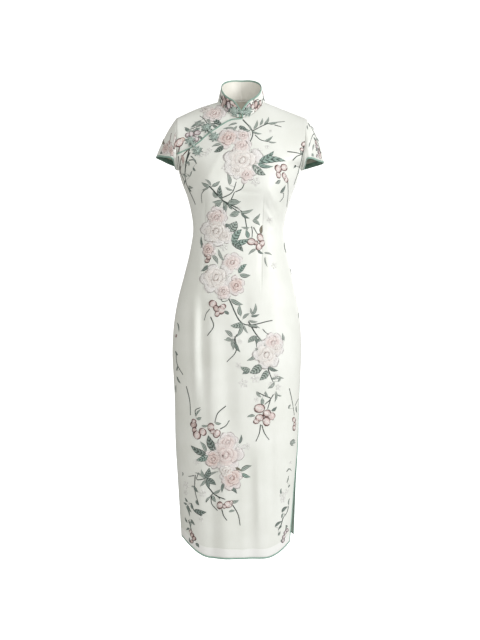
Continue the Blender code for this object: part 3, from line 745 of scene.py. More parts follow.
COLLAR_TOP_HALF = 0.053
COLLAR_TOP_DEPTH = 0.049
COLLAR_TOP_FORWARD = -0.013
COLLAR_TOP_BACK = 0.0755
COLLAR_TOP_SIDE = 0.044
COLLAR_TOP_FRONT = -0.006
COLLAR_END_SHARE = 0.40
COLLAR_ROUND = math.radians(30)
COLLAR_CLIMB = math.radians(79)
COLLAR_END_ANGLE = math.radians(1.6)
COLLAR_COLUMNS, COLLAR_ROWS = 181, 15


def collar_at(angle, share):
    """Point of the collar, from the neckline (0) to its full height (1)."""
    flat = neckline(angle)
    front = body_at(FRONT, flat[..., 0], flat[..., 1])
    back = body_at(BACK, flat[..., 0], flat[..., 1])
    cosine = np.cos(angle)
    in_front = cosine > 0
    base = np.where(in_front[..., None], front, back)
    past_side = np.minimum(angle % (2 * math.pi), -angle % (2 * math.pi)) - math.pi / 2
    to_front = (COLLAR_TOP_SIDE - COLLAR_TOP_FRONT) * np.abs(cosine) ** 1.1
    climb = np.sin(np.clip(past_side / COLLAR_CLIMB, 0, 1) * math.pi / 2)
    to_back = (COLLAR_TOP_BACK - COLLAR_TOP_SIDE) * climb
    height = np.where(in_front, COLLAR_TOP_SIDE - to_front, COLLAR_TOP_SIDE + to_back)
    x = COLLAR_TOP_HALF * np.sin(angle) + section("shift", 0.02 + 0 * angle)
    top = np.stack([x, COLLAR_TOP_FORWARD - COLLAR_TOP_DEPTH * cosine, height], -1)
    start = base + unit(top - base) * SEAM_GAP
    return start + (top - start) * share[..., None]


def collar_share(angle, trim):
    """Share of the full height that the cloth reaches, less a trim in metres."""
    from_front = np.minimum(angle, 2 * math.pi - angle)
    rounding = np.sin(np.clip(from_front / COLLAR_ROUND, 0, 1) * math.pi / 2)
    share = COLLAR_END_SHARE + (1 - COLLAR_END_SHARE) * rounding
    rise = collar_at(angle, 0 * angle + 1) - collar_at(angle, 0 * angle)
    return share - trim / np.linalg.norm(rise, axis=-1)


collar_satin = satin("ivory_satin_collar", IVORY, IVORY_SHADE)
cream = satin("cream_lining", (0.89, 0.87, 0.80, 1), (0.83, 0.81, 0.74, 1))
collar_end = COLLAR_END_ANGLE + TUCK / NECK_HALF
collar_angles = np.linspace(collar_end, 2 * math.pi - collar_end, COLLAR_COLUMNS)
collar_reach = collar_share(collar_angles, TUCK)
collar_grid = np.array(
    [collar_at(collar_angles, collar_reach * share) for share in np.linspace(0, 1, COLLAR_ROWS)]
)
collar_panel = cloth("stand_collar", collar_grid, (0, 1, 0), (collar_satin, cream), "collar")


# ---- Cap sleeves ----------------------------------------------------------------------
# Each cap sleeve is a short band of satin set into the armhole. It stands out to a point
# over the arm and closes up to the body below, and a green facing runs inside its hem, painted in a
# darker green as shade.

SLEEVE_SWELL = 0.003      # how far the cloth rounds out between armhole and hem
SLEEVE_SEAM_REACH = 0.1780    # from the middle to the hem, before and behind the armhole
SLEEVE_UNDER_REACH = 0.1720   # and at the underarm
SLEEVE_DEPTH = 0.0580
SLEEVE_POINT = 1.5        # 1 rounds the hem's outer end to an ellipse, more draws it to a point
SLEEVE_TURN = math.radians(36)
SLEEVE_FACING = 0.010
SLEEVE_BEND = 0.0012      # soft waves in the sleeve's head
Sleeve = namedtuple(
    "Sleeve", "name side top_reach top_height seam_height back_drop under_height head_swell"
)
SLEEVES = (
    Sleeve("sleeve_left", 1, 0.2230, -0.1560, -0.1540, 0.0070, -0.1680, 0.0070),
    Sleeve("sleeve_right", -1, 0.2235, -0.1400, -0.1530, 0.0000, -0.1670, 0.0010),
)


def sleeve_hem(sleeve, angle):
    """The hem round the arm: pointed over the arm, and close to the armhole below."""
    cosine, sine = np.cos(angle), np.sin(angle)
    upper = np.clip(cosine, 0, 1) ** SLEEVE_POINT
    lower = np.clip(-cosine, 0, 1)
    closing = np.sin(np.clip(np.arcsin(lower) / SLEEVE_TURN, 0, 1) * math.pi / 2)
    deep = np.abs(sine) ** np.where(cosine > 0, SLEEVE_POINT, 1.0)
    seam_height = sleeve.seam_height + sleeve.back_drop * np.clip(sine, -1, 0)
    x = SLEEVE_SEAM_REACH + (sleeve.top_reach - SLEEVE_SEAM_REACH) * upper
    x = x + (SLEEVE_UNDER_REACH - SLEEVE_SEAM_REACH) * closing
    z = seam_height + (sleeve.top_height - seam_height) * upper
    z = z + (sleeve.under_height - seam_height) * lower**2
    x = sleeve.side * x + section("shift", z)
    return np.stack([x, -SLEEVE_DEPTH * np.sign(sine) * deep, z], -1)


def sleeve_at(sleeve, angle, share, trim=TUCK):
    """Point of a cap sleeve; angle 0 is the shoulder, a quarter turn the front."""
    cosine, sine = np.cos(angle), np.sin(angle)
    middle = (SHOULDER_END + UNDERARM) / 2
    height = middle + (SHOULDER_END - middle) * cosine
    reach = armhole_reach(height)
    front = body_at(FRONT, sleeve.side * reach, height)
    back = body_at(BACK, sleeve.side * reach, height)
    start = np.where((sine > 0)[..., None], front, back)
    start[..., 1] = start[..., 1] * (np.abs(sine) > 1e-6)
    start[..., 0] = sleeve.side * (reach + SEAM_GAP) + section("shift", height)
    hem = sleeve_hem(sleeve, angle)
    length = np.linalg.norm(hem - start, axis=-1)
    share = share * (1 - trim / length)
    head = (1 + cosine) / 2
    radial = np.stack([0.7 * sleeve.side * head, -sine, cosine], -1)
    bend = SLEEVE_BEND * np.sin(angle * 5 + sleeve.side) * head * share
    swell = (SLEEVE_SWELL + sleeve.head_swell * head) * 4 * share * (1 - share) + bend
    return start + (hem - start) * share[..., None] + radial * swell[..., None]


def green_at_hem(finish, place, base, height):
    """A facing of the binding's green runs round inside the hem, painted in the binding's darker
    tone as the shade inside the sleeve.
    """
    from_hem = finish.part(finish.node("Attribute", {"attribute_name": "mark"}, {}, 1), 0)
    band = 1 - from_hem.between(SLEEVE_FACING, SLEEVE_FACING + 0.0008)
    return finish.mix(band, base, (0.20, 0.36, 0.29, 1)), height + band * 1.5


sleeve_lining = satin(
    "sleeve_lining", (0.78, 0.80, 0.70, 1), (0.72, 0.74, 0.64, 1), green_at_hem
)
SLEEVE_COLUMNS, SLEEVE_ROWS = 112, 22
sleeve_even = np.arange(SLEEVE_COLUMNS) * 2 * math.pi / SLEEVE_COLUMNS
sleeve_angles = sleeve_even - 0.1 * np.sin(4 * sleeve_even)   # closer where the hem turns
sleeve_grids = {}
for sleeve in SLEEVES:
    shares = np.linspace(0, 1, SLEEVE_ROWS)
    grid = np.array(
        [sleeve_at(sleeve, sleeve_angles, share + 0 * sleeve_angles) for share in shares]
    )
    sleeve_grids[sleeve.name] = grid
    from_hem = np.linalg.norm(grid - grid[-1], axis=-1)
    cloth(
        "cap_" + sleeve.name, grid, (0, 0, -1), (plain_satin, sleeve_lining), sleeve.name,
        closed=True, mark=np.stack([from_hem, 0 * from_hem, 0 * from_hem], -1).reshape(-1, 3),
    )


# ---- Bindings -------------------------------------------------------------------------
# Every raw edge is bound with a bias strip of sage-green satin, folded over the edge and
# slip-stitched behind, so that it stands a little proud as a soft rounded welt.

BINDING_THICK = 0.0024
WELT_SIDES = 14
STRIP_STEP = 0.000863     # UV width of each side: five floats go round the welt
SLIT_HEAD_ROWS = 2        # the strip starts this many rows below the slit's head


def bias_finish(name, color, shade):
    """Satin cut on the bias: slanting floats, and small puckers where the strip turns."""
    finish = Finish(name, Specular_IOR_Level=0.5, Sheen_Weight=0.25, Sheen_Roughness=0.4)
    place = finish.uv("strip")
    slant = finish.waves(place, "DIAGONAL", 260.0, 1.0)
    pucker = finish.noise(finish.stretched(place, 1.0, 0.25, 1.0), 210.0, 2.0)
    cloud = finish.noise(finish.place(), 30.0, 2.0)
    # Painted shade: the puckers' hollows take the darker shade colour and their crests the lighter
    # one. A cloud adds tone that varies at random.
    light = (pucker * 0.6 + cloud * 0.4).between(0.3, 0.7)
    finish.set("Base Color", finish.mix(light, shade, color))
    finish.set("Roughness", pucker * 0.20 + 0.30)
    finish.bump(pucker * 0.8 + slant * 0.12, 0.0004)
    return finish


sage_bias = bias_finish("sage_bias", (0.32, 0.485, 0.405, 1), (0.205, 0.345, 0.285, 1))


def tube_faces(count, sides, start=None):
    """Faces of a tube of rings, capped, or closed on its first ring turned by `start`."""
    faces = quads(count, sides, True)
    low = (count - 1) * sides
    if start is None:
        return faces + [tuple(reversed(range(sides))), tuple(low + side for side in range(sides))]
    for side in range(sides):
        beside = (side + 1) % sides
        faces.append((low + side, low + beside, (beside + start) % sides, (side + start) % sides))
    return faces


def tube_uv(mesh, name, sides, side_width, runs, whole=None):
    """UVs of a tube: round it, and along it by its rings' runs to the whole length."""
    layer = mesh.uv_layers.new(name=name)
    for face in mesh.polygons:
        rings, around = np.divmod(np.array(face.vertices), sides)
        if len(rings) == 4 and np.ptp(around) > 1:
            around = np.where(around == 0, sides, around)
        lengths = runs[rings]
        if whole and np.ptp(rings) > 1:
            lengths = np.where(rings == 0, whole, lengths)
        for loop, side, length in zip(face.loop_indices, around, lengths):
            layer.data[loop].uv = (side * side_width, length)


def binding(name, path, inside, normals, closed, node):
    """The welt along an edge. inside is the row of points next to the edge."""
    after = np.roll(path, -1, 0) - path
    if not closed:
        after[-1] = after[-2]
    out_after = unit(np.cross(after, normals))
    if (out_after * (path - inside)).sum() < 0:
        out_after = -out_after
    out_before = np.roll(out_after, 1, 0)
    if not closed:
        out_before[0] = out_after[0]
    meet = 1 + (out_after * out_before).sum(-1, keepdims=True)
    outward = (out_after + out_before) / meet
    run = np.concatenate([[0], np.cumsum(np.linalg.norm(np.diff(path, axis=0), axis=-1))])
    uneven = 1 + 0.05 * np.sin(run * 210 + 2 * np.sin(run * 37)) + 0.03 * np.sin(run * 530)
    middle = path + outward * (TUCK - BINDING_WIDTH / 2 + SEAM_GAP) - normals * WALL / 2
    points = []
    for turn in np.arange(WELT_SIDES) * 2 * math.pi / WELT_SIDES:
        wide = math.copysign(abs(math.cos(turn)) ** 0.85, math.cos(turn))
        thick = math.copysign(abs(math.sin(turn)) ** 0.75, math.sin(turn))
        side = outward * wide * BINDING_WIDTH / 2
        points.append(middle + side + normals * (thick * BINDING_THICK / 2) * uneven[:, None])
    wrapped = tube_faces(len(path), WELT_SIDES, 0 if closed else None)
    points = np.array(points).transpose(1, 0, 2).reshape(-1, 3)
    first, second, third = points[[face[:3] for face in wrapped]].transpose(1, 0, 2)
    if (first * np.cross(second, third)).sum() < 0:
        wrapped = [face[::-1] for face in wrapped]
    mesh = skin(name, points, wrapped)
    whole = run[-1] + np.linalg.norm(path[0] - path[-1]) if closed else None
    tube_uv(mesh, "strip", WELT_SIDES, STRIP_STEP, run, whole)
    return shown(name, mesh, (sage_bias,), "binding", node)


def edge_normals(grid, outward):
    """Unit normals of a grid of points, on the side that `outward` points to."""
    normals = unit(np.cross(np.gradient(grid, axis=1), np.gradient(grid, axis=0)))
    middle = (grid.shape[0] // 2, grid.shape[1] // 2)
    return normals if np.dot(normals[middle], outward) > 0 else -normals


def bind_hem(name, grid, rows_of, outward, node):
    """One strip down a slit, along the hem and up the other slit."""
    normals = edge_normals(grid, outward)
    slit_rows = rows_of.skirt - SLIT_HEAD_ROWS
    down, up = slice(slit_rows - 1, 0, -1), slice(1, slit_rows)
    path = np.concatenate([grid[down, 0], grid[0], grid[up, -1]])
    inside = np.concatenate([grid[down, 2], grid[2], grid[up, -3]])
    facing = np.concatenate([normals[down, 0], normals[0], normals[up, -1]])
    return binding(name, path, inside, facing, False, node)


front_binding = bind_hem("front_hem_binding", front_grid, FRONT_ROWS, (0, -1, 0), "binding_front")
back_binding = bind_hem("back_hem_binding", back_grid, BACK_ROWS, (0, 1, 0), "binding_back")

lap_end = LAP_COLUMNS + 1
front_normals = edge_normals(front_grid, (0, -1, 0))
lap_path = front_grid[-1, :lap_end].copy()
lap_path[0] += 0.5 * (lap_path[1] - lap_path[0])
lap_binding = binding(
    "lap_binding", lap_path, front_grid[-3, :lap_end], front_normals[-1, :lap_end], False,
    "binding_lap",
)

collar_normals = edge_normals(collar_grid, (0, 1, 0))
collar_path = np.concatenate([collar_grid[:-1, 0], collar_grid[-1], collar_grid[-2::-1, -1]])
collar_inside = np.concatenate([collar_grid[:-1, 2], collar_grid[-3], collar_grid[-2::-1, -3]])
collar_facing = np.concatenate(
    [collar_normals[:-1, 0], collar_normals[-1], collar_normals[-2::-1, -1]]
)
collar_binding = binding(
    "collar_edge_binding", collar_path, collar_inside, collar_facing, False, "binding_collar"
)

for sleeve in SLEEVES:
    grid = sleeve_grids[sleeve.name]
    wrapped = np.concatenate([grid[:, -1:], grid, grid[:, :1]], 1)
    facing = edge_normals(wrapped, (0, 0, -1))[-1, 1:-1]
    outside = np.stack([0 * sleeve_angles, -np.sin(sleeve_angles), np.cos(sleeve_angles)], -1)
    flip = np.sign((facing * outside).sum())
    binding(
        sleeve.name + "_hem_binding", grid[-1], grid[-3], facing * flip, True,
        "binding_" + sleeve.name,
    )


# ---- Frogs ----------------------------------------------------------------------------
# Three frogs of mint-green silk cord close the collar and the lap. On each side a cord
# is looped by hand into a flower and sewn down; between them a ball knot does the button.

CORD_RADIUS = 0.00105
BALL_CORD_RADIUS = 0.00115
CORE_RADIUS = 0.0025      # the padding that the ball knot is tied over
BALL_INSET = 0.0011       # the ball's cord runs this far inside the knot's size
CORE_HALF = 0.0026
CORD_GAP = 0.0011         # half the distance between a doubled cord's two middles
COIL_TOP = 0.0030
CORD_SIDES = 8
TWO_PLIES = 1.2566        # UV distance round a cord: two bands of the ply's wave
RING_RUN = 0.35           # UV distance along it from one ring to the next
LOOP_REACH = 0.0150       # from a flower's middle to the tip of its loops
LOOP_ROOT = 0.0022        # and to where they start
LOOP_HALF = 0.0019
LOOPS = 8
COIL_REACH = 0.0036
COIL_FOOT, COIL_RISE = 0.0026, 0.0014
COIL_TURNS = 2.1
BALL_TURNS = 3            # rounds of the ball knot's cord
KNOT_RADIUS = 0.0042
FROG_REACH = 0.0172       # from the knot to the middle of each flower
COLLAR_KNOT_LIFT = 0.0045
COLLAR_BRIDGE_LIFT = 0.0016   # of the doubled cord, where it passes under the knot
LAP_KNOT_LIFT = BINDING_THICK / 2 + 0.0003 + KNOT_RADIUS
LAP_BRIDGE_LIFT = 0.0030
COLLAR_FROG_SHARE = 0.28      # height of the collar's frog, as a share of the collar
COLLAR_FROG_SPREAD = 1.06     # its flowers lie a little farther apart, round the collar
LAP_FROGS = ((2, -0.079), (3, -0.120))

cord_finish = Finish(
    "mint_cord", Specular_IOR_Level=0.5, Sheen_Weight=0.35, Sheen_Roughness=0.4
)
ply = cord_finish.waves(cord_finish.uv("cord"), "DIAGONAL", 1.0, 0.6)
fibre = cord_finish.noise(cord_finish.place(), 900.0, 2.0)
# The ply's wave paints the cord near-black in the grooves between its plies and pale mint on their
# crowns: painted shade and painted highlight over the cord's mint green. The fibre noise adds tone
# that varies at random.
cord_finish.set("Base Color", cord_finish.mix(
    (ply * 0.7 + fibre * 0.3).between(0.15, 0.75), (0.09, 0.15, 0.12, 1), (0.70, 0.83, 0.77, 1)
))
cord_finish.set("Roughness", fibre * 0.2 + 0.38)
cord_finish.bump(ply * 0.8 + fibre * 0.2, 0.0003)


def tube(path, radius, closed):
    """Points and faces of a round cord along a path, with a frame that doesn't twist."""
    ahead = np.roll(path, -1, 0) - np.roll(path, 1, 0)
    if not closed:
        ahead[0] = path[1] - path[0]
        ahead[-1] = path[-1] - path[-2]
    ahead = unit(ahead)
    side = unit(np.cross(ahead[0], (0.31, 0.52, 0.79)))
    points = []
    turns = np.arange(CORD_SIDES) * 2 * math.pi / CORD_SIDES
    for here, along_path in zip(path, ahead):
        side = unit(side - along_path * np.dot(side, along_path))
        other = np.cross(along_path, side)
        ring = np.cos(turns)[:, None] * side + np.sin(turns)[:, None] * other
        points.extend(here + ring * radius)
    points = np.array(points)
    start = None
    if closed:
        start = int(np.linalg.norm(points[-CORD_SIDES] - points[:CORD_SIDES], axis=-1).argmin())
    return points, tube_faces(len(path), CORD_SIDES, start)


def flower_path(turn):
    """The looped cord of one flower, as (across, up, out) from its middle."""
    path = []
    for loop in range(LOOPS):
        direction = turn + loop * 2 * math.pi / LOOPS
        for step in np.linspace(0, 1, 20, endpoint=False):
            tip = LOOP_REACH * (0.90 + 0.10 * math.sin(loop * 2.3 + turn)) - CORD_RADIUS
            reach = LOOP_ROOT + (tip - LOOP_ROOT) * math.sin(math.pi * step) ** 0.9
            aside = LOOP_HALF * math.sin(2 * math.pi * step) * (0.9 + 0.1 * (loop % 2))
            across = reach * math.sin(direction) + aside * math.cos(direction)
            up = reach * math.cos(direction) - aside * math.sin(direction)
            out = CORD_RADIUS + 0.0006 * math.cos(math.pi * step) ** 2 + 0.0005 * (loop % 2)
            path.append((across, up, out))
    return np.array(path)


def coil_path():
    """The small coil that covers a flower's middle."""
    path = []
    for step in np.linspace(0, 1, 40):
        turn = step * COIL_TURNS * 2 * math.pi
        reach = COIL_REACH * (1 - step) + 0.0004
        out = COIL_FOOT + COIL_RISE * step
        path.append((reach * math.sin(turn), reach * math.cos(turn), out))
    return np.array(path)


def ball_path():
    """A button knot: one closed cord that weaves over and under round a ball."""
    path = []
    for step in np.linspace(0, 2 * math.pi, 120, endpoint=False):
        lean = 0.95 * math.sin(4 * step)
        reach = KNOT_RADIUS - BALL_INSET + 0.0004 * math.cos(8 * step)
        turn = BALL_TURNS * step
        flat = reach * math.cos(lean)
        path.append((flat * math.cos(turn), flat * math.sin(turn), reach * math.sin(lean)))
    return np.array(path)


def cloth_scale(surface, first, second):
    """Metres on the cloth for each unit of the surface's two places."""
    here = surface(first, second)
    one = np.linalg.norm(surface(first + NUDGE, second) - here, axis=-1) / NUDGE
    two = np.linalg.norm(surface(first, second + NUDGE) - here, axis=-1) / NUDGE
    return np.stack([one, two], -1)


def raised(surface, first, second, height):
    """Points of a surface, moved straight out from it by a height."""
    here = surface(first, second)
    one = surface(first + NUDGE, second) - here
    two = surface(first, second + NUDGE) - here
    return here + unit(np.cross(one, two)) * height


def on_surface(surface, first, second):
    """A placing function: (across, up, out) in metres round a point of a surface."""
    size = cloth_scale(surface, np.array(first), np.array(second))

    def place(local):
        return raised(surface, *(np.array([first, second]) + local[:, :2] / size).T, local[:, 2:])

    return place


def frog(number, places, middle_lift, bridge_lift, turns):
    """Two flowers, the ball knot between them and the doubled cord that joins them."""
    high, low, knot = places
    points, faces = [], []

    def add(path, radius, closed=False):
        new_points, new_faces = tube(path, radius, closed)
        start = sum(len(group) for group in points)
        points.append(new_points)
        faces.extend(tuple(start + corner for corner in face) for face in new_faces)

    for place, turn in ((high, turns[0]), (low, turns[1])):
        add(place(flower_path(turn)), CORD_RADIUS, closed=True)
        add(place(coil_path()), CORD_RADIUS)
    centre = knot(np.array([[0.0, 0.0, middle_lift]]))[0]
    ahead = unit(high(np.zeros((1, 3)))[0] - low(np.zeros((1, 3)))[0])
    out = unit(centre - knot(np.zeros((1, 3)))[0])
    across = np.cross(ahead, out)
    weave = ball_path()
    ball = centre + weave[:, :1] * ahead + weave[:, 1:2] * across + weave[:, 2:] * out
    add(ball, BALL_CORD_RADIUS, closed=True)
    core_turns = np.linspace(0.12, math.pi - 0.12, 9)
    core = [centre - out * math.cos(turn) * CORE_HALF for turn in core_turns]
    add(np.array(core), CORE_RADIUS)
    for side in (-1, 1):
        start, end, rise = (
            place(np.array([[0.0, 0.0, lift]]))[0] + across * side * CORD_GAP
            for place, lift in ((high, COIL_TOP), (low, COIL_TOP), (knot, bridge_lift))
        )
        share = np.linspace(-1, 1, 17)[:, None]
        bridge = np.where(share < 0, rise + (start - rise) * -share, rise + (end - rise) * share)
        add(bridge, CORD_RADIUS)
    points = np.concatenate(points)
    mesh = skin("frog_%d" % number, points, faces)
    runs = np.arange(len(points) // CORD_SIDES) * RING_RUN
    tube_uv(mesh, "cord", CORD_SIDES, TWO_PLIES / CORD_SIDES, runs)
    nodes = ["frog_%d_%s" % (number, part) for part in ("flower_a", "flower_b", "knot")]
    return shown("frog_%d" % number, mesh, (cord_finish,), "frog_cord", *nodes)


def front_at(x, height):
    return body_at(FRONT, x, height)


frog_turn = COLLAR_FROG_SPREAD * FROG_REACH / NECK_HALF
frog(
    1,
    (
        on_surface(collar_at, 2 * math.pi - frog_turn, COLLAR_FROG_SHARE),
        on_surface(collar_at, frog_turn, COLLAR_FROG_SHARE),
        on_surface(collar_at, 0.0, COLLAR_FROG_SHARE),
    ),
    COLLAR_KNOT_LIFT, COLLAR_BRIDGE_LIFT, (0.2, 0.5),
)
lap_flowers = []
for number, x in LAP_FROGS:
    near = lap_point(np.array([x]), 0.0)[0]
    down = unit(lap_point(np.array([x]), 1.0)[0] - near)
    middle = near + down * BINDING_WIDTH / 2
    high = middle - down * FROG_REACH
    low = middle + down * FROG_REACH
    lap_flowers.append((high, low))
    frog(
        number,
        (on_surface(underlap_at, *high), on_surface(front_at, *low), on_surface(front_at, *middle)),
        LAP_KNOT_LIFT, LAP_BRIDGE_LIFT, (0.1 * number, 0.3),
    )


# ---- Embroidery on the front ------------------------------------------------------------
# Roses, berry blossoms and long leaf sprays are worked by hand in floss silk: satin stitch
# fills each leaf and petal, stem stitch draws the stalks and outlines. It lies just proud.

Thread = namedtuple("Thread", "edge fill line")
THREADS = {
    "sage": Thread((0.060, 0.088, 0.072), (0.500, 0.580, 0.525), (0.050, 0.075, 0.062)),
    "dark": Thread((0.040, 0.060, 0.050), (0.290, 0.360, 0.325), (0.036, 0.054, 0.045)),
    "teal": Thread((0.050, 0.088, 0.072), (0.380, 0.520, 0.460), (0.044, 0.078, 0.064)),
    "grey": Thread((0.095, 0.122, 0.106), (0.520, 0.580, 0.535), (0.090, 0.115, 0.100)),
    "olive": Thread((0.120, 0.105, 0.070), (0.280, 0.270, 0.200), (0.140, 0.085, 0.060)),
    "pale": Thread((0.940, 0.915, 0.880), (0.900, 0.835, 0.790), (0.560, 0.470, 0.430)),
    "pink": Thread((0.920, 0.840, 0.810), (0.840, 0.690, 0.660), (0.520, 0.370, 0.350)),
    "dusty": Thread((0.900, 0.790, 0.750), (0.740, 0.540, 0.500), (0.330, 0.200, 0.185)),
    "rose": Thread((0.720, 0.490, 0.455), (0.950, 0.900, 0.870), (0.200, 0.105, 0.098)),
    "peach": Thread((0.880, 0.700, 0.600), (0.940, 0.840, 0.770), (0.420, 0.260, 0.220)),
    "mauve": Thread((0.500, 0.380, 0.400), (0.900, 0.850, 0.850), (0.170, 0.110, 0.122)),
    "brown": Thread((0.400, 0.250, 0.225), (0.820, 0.690, 0.650), (0.120, 0.066, 0.060)),
    # Near-black thread for the painted shade between a frog's loops.
    "shadow": Thread((0.030, 0.045, 0.038), (0.060, 0.085, 0.072), (0.030, 0.045, 0.038)),
    "white": Thread((0.900, 0.900, 0.870), (0.960, 0.960, 0.940), (0.800, 0.810, 0.770)),
}

# Across a stitched shape: how far out, how high, and how much of the fill colour it has.
# A negative share of fill is the line colour.
Ridge = namedtuple("Ridge", "off height fill")


def ridges(*table):
    return [Ridge(*row) for row in table]


# A pad's rise is its height over its foot. Its threads cross it with a lean back from the
# middle, or run along it where the lean is 0.
Pad = namedtuple("Pad", "ridges rise lean")
MM = 0.001
BIG_LEAF_WIDTH = 12       # millimetres; from here on a leaf has side veins
LEAF_VEINS = 5
SPRIG_START, SPRIG_TIP = 0.0040, 0.0158   # from a frog flower's middle
SPRIG_WIDTH = 0.0050
LEAF_RIDGES = ridges(
    (-1.0, 0.0, 0.0), (-0.70, 0.9, 0.0), (-0.58, 1.0, 1.0),
    (-0.26, 0.8, 1.0), (0.0, 0.45, -1.0), (0.22, 0.8, 0.9),
    (0.56, 1.0, 0.85), (0.70, 0.9, 0.0), (1.0, 0.0, 0.0),
)
BIG_LEAF_RIDGES = ridges(
    (-1.0, 0.0, 0.0), (-0.88, 0.7, 0.0), (-0.76, 0.9, 1.0),
    (-0.55, 1.0, 1.0), (-0.34, 0.9, 1.0), (-0.12, 0.8, 1.00),
    (0.0, 0.45, -1.0), (0.12, 0.8, 1.0), (0.34, 0.9, 1.0),
    (0.55, 1.0, 1.0), (0.76, 0.9, 1.0), (0.88, 0.7, 0.0),
    (1.0, 0.0, 0.0),
)
PETAL_RIDGES = ridges(
    (-1.0, 0.0, 0.0), (-0.55, 0.9, 0.0), (0.0, 1.0, 0.30),
    (0.6, 0.8, 0.85), (1.0, 0.0, 1.0),
)
DISC_RIDGES = ridges(
    (-1.0, 0.0, 0.0), (-0.6, 0.85, 0.5), (0.0, 1.0, 1.0), (0.6, 0.85, 0.5), (1.0, 0.0, 0.0)
)
STEM_RIDGES = ridges((-1.0, 0.0, 0.0), (0.0, 1.0, 0.0), (1.0, 0.0, 0.0))
LEAF_PAD = Pad(LEAF_RIDGES, 0.00055, 0.9)
BIG_LEAF_PAD = Pad(BIG_LEAF_RIDGES, 0.0008, 0.9)
SMALL_PETAL_PAD = Pad(LEAF_RIDGES, 0.0005, 0.9)
STRAIGHT_ACROSS = 1e-6
PETAL_PAD = Pad(PETAL_RIDGES, 0.0006, STRAIGHT_ACROSS)
DISC_PAD = Pad(DISC_RIDGES, 0.0007, 0.0)
STEM_LEAN = 0.5
FULL_PAD = 0.0006         # half width from which a pad has its whole rise
PAD_FOOT = -0.00008       # its edges sink this far into the satin
LEAF_LIFT = 0.00022       # metres from the satin to the foot of a leaf's pad
STEM_LIFT, STEM_RISE = 0.0003, 0.0005
STEM_PIECE = 0.0032       # length of a stalk's steps along the cloth
ROSE_LIFT, ROSE_RING_LIFT = 0.00018, 0.0003   # of the outer ring, and each next one's more
RIM_HALF, RIM_LIFT, RIM_RISE = 0.00052, 0.0003, 0.0006
HEART_LIFT, ROLL_LIFT = 0.0012, 0.0017
BUD_LIFT, BUD_RIM_HALF, BUD_RIM_LIFT = 0.0004, 0.00145, 0.0007
CURL_HALF, CURL_LIFT, CURL_RISE = 0.0006, 0.0012, 0.0004
BLOSSOM_LIFT, BLOSSOM_HEART_LIFT = 0.0002, 0.0006
FINEST = 0.00006          # no pad is narrower than this, in half widths

floss = Finish("floss_silk", Specular_IOR_Level=0.55, Sheen_Weight=0.2, Sheen_Roughness=0.3)
strand = floss.waves(floss.uv("thread"), "X", 420.0, 0.8, **{"Detail Scale": 2.0})
floss_cloud = floss.noise(floss.place(), 260.0, 2.0)
tint = floss.node("Attribute", {"attribute_name": "tint"}, {}, 0)
# The strand's wave and a cloud mix each thread's tint with a darker copy of it. This is painted
# shade between the strands and painted sheen along them, and the cloud adds tone that varies at
# random.
deep = floss.node("HueSaturation", {}, {"Color": tint, "Value": 0.72})
sheen = (strand * 0.55 + floss_cloud * 0.7).between(0.15, 0.75)
floss.set("Base Color", floss.mix(sheen, deep, tint))
floss.set("Roughness", floss_cloud * 0.2 + 0.32)
floss.bump(strand, 0.00018)


